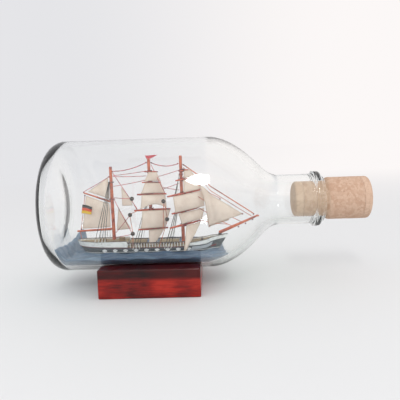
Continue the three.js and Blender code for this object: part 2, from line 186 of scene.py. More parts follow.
def buildStage():
    scene = bpy.context.scene
    scene.view_settings.view_transform = "Standard"
    buildSky()
    mesh = bpy.data.meshes.new("floor")
    reach = 20
    mesh.from_pydata([(-reach, -reach, 0), (reach, -reach, 0), (reach, reach, 0), (-reach, reach, 0)], [],
                     [(0, 1, 2, 3)])
    floor = bpy.data.objects.new("floor", mesh)
    scene.collection.objects.link(floor)
    floor.location.z = cadBox[0].z - 0.00005
    mesh.materials.append(floorPaper())

    data = bpy.data.lights.new("softbox", "AREA")
    data.shape = "ELLIPSE"
    data.size, data.size_y = (s * mm for s in stageLook["keySize"])
    data.energy = stageLook["keyWatts"]
    lamp = bpy.data.objects.new("softbox", data)
    lamp.location = Vector(stageLook["keyPlace"]) * mm
    aim = Vector((0.01, 0, 0.045)) - lamp.location
    lamp.rotation_euler = aim.to_track_quat("-Z", "Y").to_euler()
    scene.collection.objects.link(lamp)


buildStage()
print("stage and lights ready")


# Making pieces.
def startMaterial(name):
    material = bpy.data.materials.new(name)
    material.use_nodes = True
    tree = material.node_tree
    coords = addNode(tree, "ShaderNodeTexCoord").outputs["Object"]
    return material, tree, tree.nodes["Principled BSDF"], coords


def setShader(tree, shader, values):
    for name, value in values.items():
        if isinstance(value, bpy.types.NodeSocket):
            tree.links.new(value, shader.inputs[name])
        else:
            shader.inputs[name].default_value = value


def makePiece(name, points, faces, materials, body="bottle", instead=(), smooth=True,
              faceLooks=None):
    mesh = bpy.data.meshes.new(name)
    mesh.from_pydata([tuple(p) for p in points], [], faces)
    for material in materials if isinstance(materials, (list, tuple)) else [materials]:
        mesh.materials.append(material)
    if faceLooks is not None:
        mesh.polygons.foreach_set("material_index", faceLooks)
    mesh.shade_smooth() if smooth else mesh.shade_flat()
    piece = bpy.data.objects.new(name, mesh)
    bpy.context.scene.collection.objects.link(piece)
    return dress(piece, body, instead)


def dress(piece, body="bottle", instead=()):
    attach(piece, body)
    if instead:
        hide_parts(*([instead] if isinstance(instead, str) else instead))
    return piece


# Applies whatever modifiers a piece still has, and leaves it a plain mesh.
def settle(piece):
    bpy.context.view_layer.update()
    mesh = bpy.data.meshes.new_from_object(piece.evaluated_get(bpy.context.evaluated_depsgraph_get()))
    piece.modifiers.clear()
    piece.data = mesh
    return piece


# A surface turned about an axis from origin along direction. profile is [distance along, radius].
def turnedShape(origin, direction, profile, sides):
    axis = direction.normalized()
    across = axis.orthogonal().normalized()
    up = axis.cross(across)
    points, rings = [], []
    for along, radius in profile:
        centre = origin + axis * along
        if radius < 1e-7:
            rings.append([len(points)])
            points.append(centre)
            continue
        rings.append(list(range(len(points), len(points) + sides)))
        for i in range(sides):
            angle = 2 * math.pi * i / sides
            points.append(centre + (across * math.cos(angle) + up * math.sin(angle)) * radius)
    faces = []
    for low, high in zip(rings, rings[1:]):
        for i in range(sides):
            j = (i + 1) % sides
            if len(low) == 1 and len(high) == 1:
                continue
            if len(low) == 1:
                faces.append((low[0], high[j], high[i]))
            elif len(high) == 1:
                faces.append((low[i], low[j], high[0]))
            else:
                faces.append((low[i], low[j], high[j], high[i]))
    return points, faces


# One open sheet over two parameters: place(u, v) gives a point.
def gridSheet(place, across, along):
    points = [place(i / across, j / along) for j in range(along + 1) for i in range(across + 1)]
    wide = across + 1
    faces = [
        (j * wide + i, j * wide + i + 1, (j + 1) * wide + i + 1, (j + 1) * wide + i)
        for j in range(along)
        for i in range(across)
    ]
    return points, faces


def gathered(shapes):  # several [points, faces] as one
    points, faces = [], []
    for somePoints, someFaces in shapes:
        start = len(points)
        points += somePoints
        faces += [tuple(start + i for i in face) for face in someFaces]
    return points, faces


def mix(a, b, share):
    return a + (b - a) * share


def smoothStep(x, low, high):
    t = min(max((x - low) / (high - low), 0), 1)
    return t * t * (3 - 2 * t)


# The two ends and the radius of a straight round bar in the frame, lowest x first.
def barEnds(node):
    found = np.array([v.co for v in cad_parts[node].data.vertices], float)
    centre = (found.min(0) + found.max(0)) / 2
    spread = found - found.mean(0)
    axis = np.linalg.svd(spread, full_matrices=False)[2][0]
    if axis[np.abs(axis).argmax()] < 0:
        axis = -axis
    along = (found - centre) @ axis
    ends = []
    for share in (along.min(), along.max()):
        cap = found[np.abs(along - share) < 1e-5]
        ends.append(Vector((cap.min(0) + cap.max(0)) / 2))
    width = np.linalg.norm(spread - np.outer(spread @ axis, axis), axis=1)
    return ends[0], ends[1], float(np.median(width))


# The corners of a flat upright sheet in the frame, in order round it.
def sheetCorners(node):
    found = {(round(v.co.x, 6), round(v.co.z, 6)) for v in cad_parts[node].data.vertices}
    middle = np.mean(list(found), axis=0)
    ordered = sorted(found, key=lambda p: math.atan2(p[1] - middle[1], p[0] - middle[0]))
    low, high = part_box(node)
    return [Vector((x, (low.y + high.y) / 2, z)) for x, z in ordered]


# Materials.
# Beech with a cherry-red stain under a thick clear varnish: deep, wet-looking, with long dark grain. Its
# upper part, under the bottle, carries painted shade.
def varnishedBeech():
    look = {"deep": "#470b08", "mid": "#7c120b", "bright": "#a82618", "poreLength": 9, "grainWidth": 0.9}
    material, tree, shader, coords = startMaterial("varnished_beech")
    along = addNode(tree, "ShaderNodeMapping", inputs={
        "Vector": coords, "Scale": (1 / look["poreLength"] / mm, 1 / look["grainWidth"] / mm,
                                    1 / look["grainWidth"] / mm),
    })
    grain = addNode(tree, "ShaderNodeTexNoise", inputs={
        "Vector": along.outputs[0], "Scale": 1.0, "Detail": 5.0, "Roughness": 0.62,
    })
    cloud = addNode(tree, "ShaderNodeTexNoise", inputs={"Vector": coords, "Scale": 45.0, "Detail": 2.0})
    both = addNode(tree, "ShaderNodeMath", {"operation": "MULTIPLY_ADD"}, {
        0: grain.outputs[0], 1: 0.62, 2: cloud.outputs[0],
    })
    colour = addNode(tree, "ShaderNodeValToRGB", {"ramp": [
        (0.62, look["deep"]), (0.80, look["mid"]), (0.98, look["bright"]),
    ]}, {"Fac": both.outputs[0]})
    apart = addNode(tree, "ShaderNodeSeparateXYZ", inputs={"Vector": coords})
    low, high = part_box("stand")
    wave = addNode(tree, "ShaderNodeMath", {"operation": "MULTIPLY_ADD"}, {
        0: cloud.outputs[0], 1: 0.003, 2: apart.outputs["Z"],
    })
    # Painted shade: the wood is multiplied darker above about 10.6 to 13.2 mm up from the stand's foot, with
    # a wavy border, where the bottle above shades it.
    paintedShadeMask = addNode(tree, "ShaderNodeMapRange", {"interpolation_type": "SMOOTHSTEP"}, {
        0: wave.outputs[0], 1: low.z + 10.6 * mm, 2: low.z + 13.2 * mm,
    })
    withPaintedShade = addNode(tree, "ShaderNodeMix", {"data_type": "RGBA", "blend_type": "MULTIPLY"}, {
        "A": colour.outputs[0], "B": linear("#6e2f2c"), "Factor": paintedShadeMask.outputs[0],
    })
    bump = addNode(tree, "ShaderNodeBump",
                   inputs={"Height": grain.outputs[0], "Distance": 0.00006, "Strength": 0.5})
    setShader(tree, shader, {
        "Base Color": withPaintedShade.outputs[2], "Roughness": 0.38, "Normal": bump.outputs[0],
        "Specular IOR Level": 0.1, "Coat Weight": 0.5, "Coat Roughness": 0.06, "Coat IOR": 1.5,
    })
    return material


# Clear soda-lime bottle glass, blown and fire polished: faint green where it is seen edge on.
def bottleGlassLook():
    look = {"tint": "#d8ecdf", "depth": 9.0}
    material, tree, shader, coords = startMaterial("soda_lime_glass")
    ripple = addNode(tree, "ShaderNodeTexNoise", inputs={"Vector": coords, "Scale": 34.0, "Detail": 1.0})
    bump = addNode(tree, "ShaderNodeBump",
                   inputs={"Height": ripple.outputs[0], "Distance": 0.0003, "Strength": 0.12})
    setShader(tree, shader, {
        "Base Color": (1, 1, 1, 1), "Roughness": 0.0, "IOR": 1.5, "Transmission Weight": 1.0,
        "Normal": bump.outputs[0],
    })
    path = addNode(tree, "ShaderNodeLightPath")
    lets = addNode(tree, "ShaderNodeMath", {"operation": "MAXIMUM"}, {
        0: path.outputs["Is Shadow Ray"], 1: path.outputs["Is Diffuse Ray"],
    })
    clear = addNode(tree, "ShaderNodeBsdfTransparent", inputs={"Color": linear("#f7faf8")})
    seen = addNode(tree, "ShaderNodeMixShader",
                   inputs={0: lets.outputs[0], 1: shader.outputs[0], 2: clear.outputs[0]})
    green = addNode(tree, "ShaderNodeVolumeAbsorption",
                    inputs={"Color": linear(look["tint"]), "Density": look["depth"]})
    out = tree.nodes["Material Output"]
    tree.links.new(seen.outputs[0], out.inputs["Surface"])
    tree.links.new(green.outputs[0], out.inputs["Volume"])
    return material


# Cork, granules pressed together or cut whole: matt, warm, with dark pores.
def corkLook(name, pale, mid, dark, granule):
    material, tree, shader, coords = startMaterial(name)
    jog = addNode(tree, "ShaderNodeTexNoise", inputs={"Vector": coords, "Scale": 900.0, "Detail": 2.0})
    bent = addNode(tree, "ShaderNodeMix", {"data_type": "VECTOR"}, {
        "A": coords, "B": jog.outputs["Color"], "Factor": 0.0006,
    })
    cells = addNode(tree, "ShaderNodeTexVoronoi", {"feature": "F1"},
                    {"Vector": bent.outputs[1], "Scale": 1 / granule / mm})
    tone = addNode(tree, "ShaderNodeSeparateColor", inputs={0: cells.outputs["Color"]})
    colour = addNode(tree, "ShaderNodeValToRGB",
                     {"ramp": [(0.0, mid), (0.45, pale), (0.8, pale), (1.0, mid)]}, {
        "Fac": tone.outputs[0],
    })
    seam = addNode(tree, "ShaderNodeTexVoronoi", {"feature": "DISTANCE_TO_EDGE"}, {
        "Vector": bent.outputs[1], "Scale": 1 / granule / mm,
    })
    seamShade = addNode(tree, "ShaderNodeMapRange",
                        inputs={0: seam.outputs[0], 1: 0.0, 2: 0.06, 3: 0.25, 4: 0.0})
    pits = addNode(tree, "ShaderNodeTexNoise",
                   inputs={"Vector": coords, "Scale": 1500.0, "Detail": 3.0, "Roughness": 0.7})
    pitShade = addNode(tree, "ShaderNodeMapRange",
                       inputs={0: pits.outputs[0], 1: 0.60, 2: 0.70, 3: 0.0, 4: 0.8})
    shade = addNode(tree, "ShaderNodeMath", {"operation": "MAXIMUM"},
                    {0: seamShade.outputs[0], 1: pitShade.outputs[0]})
    marked = addNode(tree, "ShaderNodeMix", {"data_type": "RGBA"}, {
        "A": colour.outputs[0], "B": linear(dark), "Factor": shade.outputs[0],
    })
    bump = addNode(tree, "ShaderNodeBump", {"invert": True},
                   {"Height": shade.outputs[0], "Distance": 0.00012, "Strength": 0.7})
    setShader(tree, shader, {"Base Color": marked.outputs[2], "Roughness": 0.86, "Normal": bump.outputs[0]})
    shader.inputs["Specular IOR Level"].default_value = 0.25
    return material


# Glazier's putty pressed in and brushed with blue-grey oil paint: satin, streaky, paler on its crests.
def seaPaint():
    look = {"trough": "#4f657f", "body": "#647a94", "crest": "#8093a8", "low": "#706f83"}
    material, tree, shader, coords = startMaterial("brushed_oil_paint_on_putty")
    drawn = addNode(tree, "ShaderNodeMapping", inputs={"Vector": coords, "Scale": (90.0, 420.0, 420.0)})
    brush = addNode(tree, "ShaderNodeTexNoise",
                    inputs={"Vector": drawn.outputs[0], "Scale": 1.0, "Detail": 5.0, "Roughness": 0.6})
    colour = addNode(tree, "ShaderNodeValToRGB", {"ramp": [
        (0.32, look["trough"]), (0.52, look["body"]), (0.74, look["crest"]),
    ]}, {"Fac": brush.outputs[0]})
    apart = addNode(tree, "ShaderNodeSeparateXYZ", inputs={"Vector": coords})
    low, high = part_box("sea")
    deep = addNode(tree, "ShaderNodeMapRange", {"interpolation_type": "SMOOTHSTEP"}, {
        0: apart.outputs["Z"], 1: low.z + 5.5 * mm, 2: low.z + 1.0 * mm,
    })
    tinted = addNode(tree, "ShaderNodeMix", {"data_type": "RGBA"}, {
        "A": colour.outputs[0], "B": linear(look["low"]), "Factor": deep.outputs[0],
    })
    bump = addNode(tree, "ShaderNodeBump",
                   inputs={"Height": brush.outputs[0], "Distance": 0.0003, "Strength": 0.5})
    setShader(tree, shader, {"Base Color": tinted.outputs[2], "Roughness": 0.42, "Normal": bump.outputs[0]})
    return material


# Hobby enamel brushed on wood: one colour with faint streaks, scuffs and a low sheen.
def brushedEnamel(name, main, worn, gloss=0.45):
    material, tree, shader, coords = startMaterial(name)
    streak = addNode(tree, "ShaderNodeMapping", inputs={"Vector": coords, "Scale": (260.0, 1400.0, 1400.0)})
    brush = addNode(tree, "ShaderNodeTexNoise",
                    inputs={"Vector": streak.outputs[0], "Scale": 1.0, "Detail": 4.0, "Roughness": 0.65})
    colour = addNode(tree, "ShaderNodeValToRGB", {"ramp": [(0.34, worn), (0.52, main), (1.0, main)]},
                     {"Fac": brush.outputs[0]})
    bump = addNode(tree, "ShaderNodeBump",
                   inputs={"Height": brush.outputs[0], "Distance": 0.00005, "Strength": 0.5})
    setShader(tree, shader, {"Base Color": colour.outputs[0], "Roughness": gloss, "Normal": bump.outputs[0]})
    return material


# Bare limewood deck, scribed into planks along the ship: pale straw with thin dark joints.
def deckPlanks():
    look = {"plank": "#c2ad8c", "board": "#a8926f", "joint": "#5d4b38", "width": 0.9, "length": 9.0}
    material, tree, shader, coords = startMaterial("scribed_limewood")
    apart = addNode(tree, "ShaderNodeSeparateXYZ", inputs={"Vector": coords})
    flat = addNode(tree, "ShaderNodeCombineXYZ", inputs={"X": apart.outputs["X"], "Y": apart.outputs["Y"]})
    boards = addNode(tree, "ShaderNodeTexBrick", {"offset": 0.5}, {
        "Vector": flat.outputs[0], "Color1": linear(look["plank"]), "Color2": linear(look["board"]),
        "Mortar": linear(look["joint"]), "Scale": 1.0, "Mortar Size": 0.00007, "Mortar Smooth": 0.3,
        "Brick Width": look["length"] * mm, "Row Height": look["width"] * mm,
    })
    streak = addNode(tree, "ShaderNodeMapping", inputs={"Vector": coords, "Scale": (200.0, 3000.0, 3000.0)})
    grain = addNode(tree, "ShaderNodeTexNoise",
                    inputs={"Vector": streak.outputs[0], "Scale": 1.0, "Detail": 3.0})
    toned = addNode(tree, "ShaderNodeMix", {"data_type": "RGBA", "blend_type": "MULTIPLY"}, {
        "A": boards.outputs["Color"], "B": grain.outputs["Color"], "Factor": 0.35,
    })
    bump = addNode(tree, "ShaderNodeBump", {"invert": True},
                   {"Height": boards.outputs["Fac"], "Distance": 0.00008, "Strength": 0.6})
    setShader(tree, shader, {"Base Color": toned.outputs[2], "Roughness": 0.7, "Normal": bump.outputs[0]})
    return material


# Thin dowel dipped in orange-red spirit stain: blotchy, darker where it soaked into end grain and knots.
def stainedDowel(name, bright, mid, dark):
    material, tree, shader, coords = startMaterial(name)
    blotch = addNode(tree, "ShaderNodeTexNoise",
                     inputs={"Vector": coords, "Scale": 230.0, "Detail": 4.0, "Roughness": 0.65})
    colour = addNode(tree, "ShaderNodeValToRGB", {"ramp": [(0.34, dark), (0.48, mid), (0.66, bright)]},
                     {"Fac": blotch.outputs[0]})
    fibre = addNode(tree, "ShaderNodeTexNoise", inputs={"Vector": coords, "Scale": 2600.0, "Detail": 2.0})
    bump = addNode(tree, "ShaderNodeBump",
                   inputs={"Height": fibre.outputs[0], "Distance": 0.00004, "Strength": 0.5})
    setShader(tree, shader, {"Base Color": colour.outputs[0], "Roughness": 0.5, "Normal": bump.outputs[0]})
    return material


# Fine cotton sized with glue and pressed: cream, light comes through it, hemmed all round.
# The real 0.2 mm weave is too fine to show, so it is drawn at 0.5 mm.
def sizedCotton(name, pale, shadow, hem):
    look = {"thread": 0.5, "hemWidth": 0.55}
    material, tree, shader, coords = startMaterial(name)
    weave = addNode(tree, "ShaderNodeTexWave", {"bands_direction": "Z"}, {
        "Vector": coords, "Scale": 1 / look["thread"] / mm / 20, "Distortion": 0.5, "Detail": 1.0,
        "Detail Scale": 2.0,
    })
    warp = addNode(tree, "ShaderNodeTexWave", {"bands_direction": "X"}, {
        "Vector": coords, "Scale": 1 / look["thread"] / mm / 20, "Distortion": 0.5, "Detail": 1.0,
        "Detail Scale": 2.0,
    })
    cross = addNode(tree, "ShaderNodeMath", {"operation": "ADD"},
                    {0: weave.outputs["Fac"], 1: warp.outputs["Fac"]})
    cloud = addNode(tree, "ShaderNodeTexNoise", inputs={"Vector": coords, "Scale": 130.0, "Detail": 3.0})
    colour = addNode(tree, "ShaderNodeValToRGB", {"ramp": [(0.3, shadow), (0.58, pale)]},
                     {"Fac": cloud.outputs[0]})
    edge = addNode(tree, "ShaderNodeAttribute", {"attribute_name": "edgeDistance"})
    hemBand = addNode(tree, "ShaderNodeMapRange", inputs={
        0: edge.outputs["Fac"], 1: look["hemWidth"] * 0.75, 2: look["hemWidth"], 3: 0.55, 4: 0.0,
    })
    hemmed = addNode(tree, "ShaderNodeMix", {"data_type": "RGBA"}, {
        "A": colour.outputs[0], "B": linear(hem), "Factor": hemBand.outputs[0],
    })
    bump = addNode(tree, "ShaderNodeBump",
                   inputs={"Height": cross.outputs[0], "Distance": 0.00005, "Strength": 0.35})
    setShader(tree, shader, {"Base Color": hemmed.outputs[2], "Roughness": 0.85, "Normal": bump.outputs[0]})
    shader.inputs["Sheen Weight"].default_value = 0.15
    shader.inputs["Specular IOR Level"].default_value = 0.2
    glow = addNode(tree, "ShaderNodeBsdfTranslucent", inputs={"Color": hemmed.outputs[2]})
    both = addNode(tree, "ShaderNodeMixShader", inputs={0: 0.35, 1: shader.outputs[0], 2: glow.outputs[0]})
    tree.links.new(both.outputs[0], tree.nodes["Material Output"].inputs["Surface"])
    return material


# Polished cotton thread: the twist shows as fine slanted bands along it.
def twistedThread(name, main, dark):
    material, tree, shader, coords = startMaterial(name)
    twist = addNode(tree, "ShaderNodeTexWave", {"bands_direction": "DIAGONAL"}, {
        "Vector": coords, "Scale": 110.0, "Distortion": 3.0, "Detail": 1.0,
    })
    colour = addNode(tree, "ShaderNodeValToRGB", {"ramp": [(0.1, dark), (0.6, main)]},
                     {"Fac": twist.outputs["Fac"]})
    bump = addNode(tree, "ShaderNodeBump",
                   inputs={"Height": twist.outputs["Fac"], "Distance": 0.00004, "Strength": 0.6})
    setShader(tree, shader, {"Base Color": colour.outputs[0], "Roughness": 0.75, "Normal": bump.outputs[0]})
    return material


# Black pressed glass bead: hard shine over a faintly brown body.
def jetGlass():
    material, tree, shader, coords = startMaterial("black_pressed_glass")
    cloud = addNode(tree, "ShaderNodeTexNoise", inputs={"Vector": coords, "Scale": 700.0, "Detail": 2.0})
    colour = addNode(tree, "ShaderNodeValToRGB", {"ramp": [(0.35, "#1c120c"), (0.7, "#39281c")]},
                     {"Fac": cloud.outputs[0]})
    setShader(tree, shader, {"Base Color": colour.outputs[0], "Roughness": 0.12})
    return material


# Printed cotton flag: three even stripes across the hoist, told by the cloth's own upright coordinate.
def printedFlag():
    look = {"top": "#1b1613", "middle": "#d0431f", "bottom": "#dcb233"}
    material, tree, shader, coords = startMaterial("printed_cotton_flag")
    place = addNode(tree, "ShaderNodeTexCoord").outputs["UV"]
    apart = addNode(tree, "ShaderNodeSeparateXYZ", inputs={"Vector": place})
    fray = addNode(tree, "ShaderNodeTexNoise", inputs={"Vector": coords, "Scale": 1800.0, "Detail": 2.0})
    line = addNode(tree, "ShaderNodeMath", {"operation": "MULTIPLY_ADD"},
                   {0: fray.outputs[0], 1: 0.05, 2: apart.outputs["Y"]})
    stripes = addNode(tree, "ShaderNodeValToRGB", {"ramp": [
        (0.34, look["bottom"]), (0.37, look["middle"]), (0.67, look["middle"]), (0.70, look["top"]),
    ]}, {"Fac": line.outputs[0]})
    bump = addNode(tree, "ShaderNodeBump",
                   inputs={"Height": fray.outputs[0], "Distance": 0.00006, "Strength": 0.5})
    setShader(tree, shader, {"Base Color": stripes.outputs[0], "Roughness": 0.8, "Normal": bump.outputs[0]})
    return material


looks = {
    "wood": varnishedBeech(),
    "glass": bottleGlassLook(),
    "corkBody": corkLook("agglomerated_cork", "#cbac96", "#bd9a83", "#8d6952", 1.7),
    "corkDisc": corkLook("natural_cork", "#d0b29c", "#c4a38c", "#93705a", 5.0),
    "sea": seaPaint(),
    "hull": brushedEnamel("dark_grey_enamel", "#43494d", "#666c70"),
    "white": brushedEnamel("white_enamel", "#f0eeee", "#cfcbcb"),
    "plate": brushedEnamel("pale_grey_enamel", "#c3c6cb", "#a5a9af"),
    "red": brushedEnamel("oxide_red_enamel", "#7c2228", "#541a1e"),
    "rail": brushedEnamel("dark_rail_enamel", "#4a3d3a", "#6a5a54"),
    "house": brushedEnamel("olive_brown_enamel", "#8a7050", "#6b5338", 0.6),
    "deck": deckPlanks(),
    "mast": stainedDowel("stained_mast_dowel", "#cf6a40", "#b8532f", "#7d2a22"),
    "yard": stainedDowel("stained_yard_dowel", "#d4623a", "#ac3f2c", "#6d1c22"),
    "sail": sizedCotton("sized_cotton", "#f7e8de", "#e9d6ca", "#cfb9a6"),
    "lashThread": twistedThread("dark_red_thread", "#8a2a2e", "#4f171c"),
    "redThread": twistedThread("red_cotton_thread", "#c2505a", "#8d2a34"),
    "orangeThread": twistedThread("orange_cotton_thread", "#cc6a44", "#96402c"),
    "blackThread": twistedThread("black_waxed_thread", "#33302f", "#161414"),
    "whiteThread": twistedThread("white_cotton_thread", "#e8e6e2", "#c4c0bc"),
    "bead": jetGlass(),
    "flag": printedFlag(),
    "pennant": brushedEnamel("painted_red_paper", "#cc3b48", "#a52a38", 0.7),
}
print("materials ready:", len(looks))


# Cradle.
cradle = {"clearance": 0.25, "edgeRound": 0.7, "troughSteps": 60}
bottleLow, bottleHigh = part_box("bottle")
bottleRadius = (bottleHigh.z - bottleLow.z) / 2
axisZ = (bottleHigh.z + bottleLow.z) / 2


def buildCradle():
    low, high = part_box("stand")
    trough = bottleRadius + cradle["clearance"] * mm
    swing = math.acos((axisZ - high.z) / trough)
    end = [(high.y, low.z), (high.y, high.z)]
    for i in range(cradle["troughSteps"] + 1):
        angle = mix(swing, -swing, i / cradle["troughSteps"])
        end.append((trough * math.sin(angle), axisZ - trough * math.cos(angle)))
    end += [(low.y, high.z), (low.y, low.z)]
    count = len(end)
    points = [(x, y, z) for x in (low.x, high.x) for y, z in end]
    faces = [tuple(range(count))[::-1], tuple(range(count, 2 * count))]
    faces += [(i, (i + 1) % count, count + (i + 1) % count, count + i) for i in range(count)]
    piece = makePiece("cradleBlock", points, faces, looks["wood"], "stand", "stand")
    work = bmesh.new()
    work.from_mesh(piece.data)
    bmesh.ops.recalc_face_normals(work, faces=work.faces)
    work.to_mesh(piece.data)
    work.free()
    rounding = piece.modifiers.new("edges", "BEVEL")
    rounding.width = cradle["edgeRound"] * mm
    rounding.segments = 4
    rounding.limit_method = "ANGLE"
    rounding.angle_limit = math.radians(30)
    rounding.harden_normals = True
    settle(piece)


buildCradle()

# Bottle.
glassSizes = {
    "wall": 2.2, "heel": 9, "punt": 3.5, "baseGlass": 3.6, "shoulderStart": 33, "shoulderLength": 39,
    "neck": 14.2, "bore": 10.4, "lipStart": 91.2, "lip": 15.6, "mouth": 12.7, "sides": 144,
    "wallRings": (16, 30, 50, 70, 82),  # along the straight wall, from the base
    "neckRings": (77, 82), "boreRings": (84, 78),
    "neckFillet": 1.5, "lipUnder": 1.15, "lipCrown": 1.3, "mouthRound": 1.1,
}


def curveThrough(a, b, c, d, steps):  # a cubic curve by its four control points
    return [
        tuple(
            (1 - t) ** 3 * a[k] + 3 * (1 - t) ** 2 * t * b[k] + 3 * (1 - t) * t * t * c[k] + t**3 * d[k]
            for k in (0, 1)
        )
        for t in (i / steps for i in range(steps + 1))
    ]


def shoulderLine(wide, narrow, start, length, steps=26):
    def spot(along, down):
        return (start + along * length, wide - down * (wide - narrow))
    crown = curveThrough(spot(0, 0), spot(0.21, 0), spot(0.45, 0.27), spot(0.63, 0.57), steps)
    throat = curveThrough(spot(0.63, 0.57), spot(0.74, 0.755), spot(0.85, 1), spot(1, 1), steps)
    return crown + throat[1:]


def arcLine(centreX, centreR, radius, start, stop, steps):
    return [
        (centreX + radius * math.cos(a), centreR + radius * math.sin(a))
        for a in (mix(start, stop, i / steps) for i in range(steps + 1))
    ]


def domeLine(x, rise, edge, steps=12):
    return [(x + rise * (1 - (i / steps) ** 2) ** 2, edge * i / steps) for i in range(steps)]


def buildBottle():
    s = glassSizes
    wide = bottleRadius / mm
    inner = wide - s["wall"]
    base = bottleLow.x / mm
    mouth = bottleHigh.x / mm
    innerBase = base + s["baseGlass"]
    innerHeel = s["heel"] - s["wall"]
    quarter = math.pi / 2
    outside = domeLine(base, s["punt"], wide - s["heel"])
    outside += arcLine(base + s["heel"], wide - s["heel"], s["heel"], math.pi, quarter, 16)
    outside += [(base + ring, wide) for ring in s["wallRings"]]
    outside += shoulderLine(wide, s["neck"], s["shoulderStart"], s["shoulderLength"])
    outside += [(ring, s["neck"]) for ring in s["neckRings"]] + [(s["lipStart"] - 2.6, s["neck"])]
    fillet, under, crown, rounding = s["neckFillet"], s["lipUnder"], s["lipCrown"], s["mouthRound"]
    outside += arcLine(s["lipStart"] - 1.6, s["neck"] + fillet, fillet, -quarter, 0, 12)[1:]
    outside += arcLine(s["lipStart"] + under, s["lip"] - under, under, math.pi, quarter, 16)[1:]
    outside += arcLine(s["lipStart"] + 2.6, s["lip"] - crown, crown, quarter, 0.35, 14)
    outside += curveThrough(
        (s["lipStart"] + 4.1, s["lip"] - 1.5), (mouth - 1.6, s["lip"] - 1.7),
        (mouth - 0.2, s["mouth"] + 0.9), (mouth, s["mouth"] - 0.2), 14,
    )
    inside = arcLine(mouth - rounding, s["mouth"] - 1.2, rounding, 0.0, -quarter, 12)[1:]
    inside += [(mouth - 2.6, s["bore"] + 0.05)] + [(ring, s["bore"]) for ring in s["boreRings"]]
    inside += shoulderLine(inner, s["bore"], s["shoulderStart"] - s["wall"], s["shoulderLength"])[::-1]
    inside += [(base + ring, inner) for ring in reversed(s["wallRings"])]
    inside += arcLine(innerBase + innerHeel, inner - innerHeel, innerHeel, math.pi, quarter, 14)[::-1]
    inside += domeLine(innerBase, s["punt"] * 0.8, inner - innerHeel)[::-1]
    profile = [(x * mm, max(r, 0) * mm) for x, r in outside + inside]
    points, faces = turnedShape(Vector((0, 0, axisZ)), Vector((1, 0, 0)), profile, s["sides"])
    makePiece("bottleGlass", points, faces, looks["glass"], "bottle", "bottle")


buildBottle()

# Cork.
corkShape = {"sides": 96, "roughness": 0.10, "grainSize": 1.1, "step": 0.45}


def buildCorkPiece(name, node, look, profile, seed):
    fine = []
    for (x0, r0), (x1, r1) in zip(profile, profile[1:]):
        steps = max(1, round(math.hypot(x1 - x0, r1 - r0) / corkShape["step"]))
        fine += [(mix(x0, x1, i / steps), mix(r0, r1, i / steps)) for i in range(steps)]
    fine.append(profile[-1])
    points, faces = turnedShape(
        Vector((0, 0, axisZ)), Vector((1, 0, 0)), [(x * mm, r * mm) for x, r in fine], corkShape["sides"]
    )
    centre = Vector((0, 0, axisZ))
    shift = Vector((seed * 7.3, 0, 0))
    for i, point in enumerate(points):
        away = point - centre
        radius = math.hypot(away.y, away.z)
        if radius < 1e-5:
            continue
        pit = noise.noise(point / (corkShape["grainSize"] * mm) + shift)
        shrink = 1 - max(pit, -0.25) * corkShape["roughness"] * mm / radius - 0.03 * mm / radius
        points[i] = Vector((point.x, away.y * shrink, centre.z + away.z * shrink))
    makePiece(name, points, faces, look, "cork", node)


def buildCork():
    low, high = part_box("cork_inner_disc")
    x0, x1 = low.x / mm, high.x / mm
    r = (high.z - low.z) / 2 / mm
    rounded = arcLine(x0 + 1.3, r - 1.3, 1.3, math.pi, math.pi / 2, 6)
    buildCorkPiece(
        "corkInnerDisc", "cork_inner_disc", looks["corkDisc"],
        [(x0, 0)] + rounded + [(x1, r), (x1, 0)], 1,
    )
    low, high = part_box("cork_body")
    x0, x1 = low.x / mm, high.x / mm
    full = (high.z - low.z) / 2 / mm
    mouth = bottleHigh.x / mm
    buildCorkPiece(
        "corkBody", "cork_body", looks["corkBody"],
        [(x0, 0), (x0, r), (mouth + 0.5, r)]
        + curveThrough((mouth + 0.5, r), (mouth + 1.3, r), (mouth + 1.4, full), (mouth + 3.2, full), 6)[1:]
        + [(x1, full), (x1, 0)],
        2,
    )
    low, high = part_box("cork_outer_disc")
    x0, x1 = low.x / mm, high.x / mm
    buildCorkPiece(
        "corkOuterDisc", "cork_outer_disc", looks["corkDisc"],
        [(x0, 0), (x0, full), (x1 - 1.5, full)]
        + arcLine(x1 - 1.5, full - 1.4, 1.4, math.pi / 2, 0.12, 6)[1:] + [(x1, full - 3), (x1, 0)],
        3,
    )


buildCork()
print("cradle, bottle and cork built")

# Hull.
hullShape = {
    "draught": 1.6, "aft": -43.5, "fore": 43.0, "halfBeam": 6.4, "sternRake": 4.6, "stemRake": 4.2,
    "poopFore": -15.0, "forecastleAft": 20.6, "rim": 0.55, "wellDepth": 0.75,
}
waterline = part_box("hull")[0].z / mm + hullShape["draught"]


def aboard(x, y, z):  # a point by its height above the water, in millimetres
    return Vector((x, y, z + waterline)) * mm


def breadthAt(x):
    s = hullShape
    run = math.sqrt(max(1 - (1 - min((x - s["aft"]) / 15, 1)) ** 2, 0))
    entry = math.sin(math.pi / 2 * min((s["fore"] - x) / 26, 1))
    return s["halfBeam"] * max(run * entry, 0.06)


def sheerAt(x):
    return 3.1 + 1.3 * ((x - 2) / 45) ** 2 + 1.9 * smoothStep(x, 26, hullShape["fore"])


def poopAt(x):
    return 6.7 + 0.4 * smoothStep(-x, 30, 44)


def forecastleAt(x):
    return mix(4.6, 8.6, smoothStep(x, hullShape["forecastleAft"] - 6, hullShape["fore"] + 6))


# A point on the hull's side: along it, up from keel (0) to sheer (1), and a little outside it.
def sidePoint(x, up, side, proud=0.0):
    s = hullShape
    share = (x - s["aft"]) / (s["fore"] - s["aft"])
    shifted = x + (1 - up) * (s["sternRake"] * (1 - share) - s["stemRake"] * share)
    half = breadthAt(x) * mix(0.86, 1, up) * (1 - 0.06 * math.sin(math.pi * up)) + proud
    z = mix(-s["draught"], sheerAt(x), up)
    ahead = proud * smoothStep(x, s["fore"] - 6, s["fore"]) - proud * smoothStep(-x, -s["aft"] - 6, -s["aft"])
    return aboard(shifted + ahead, side * half, z)


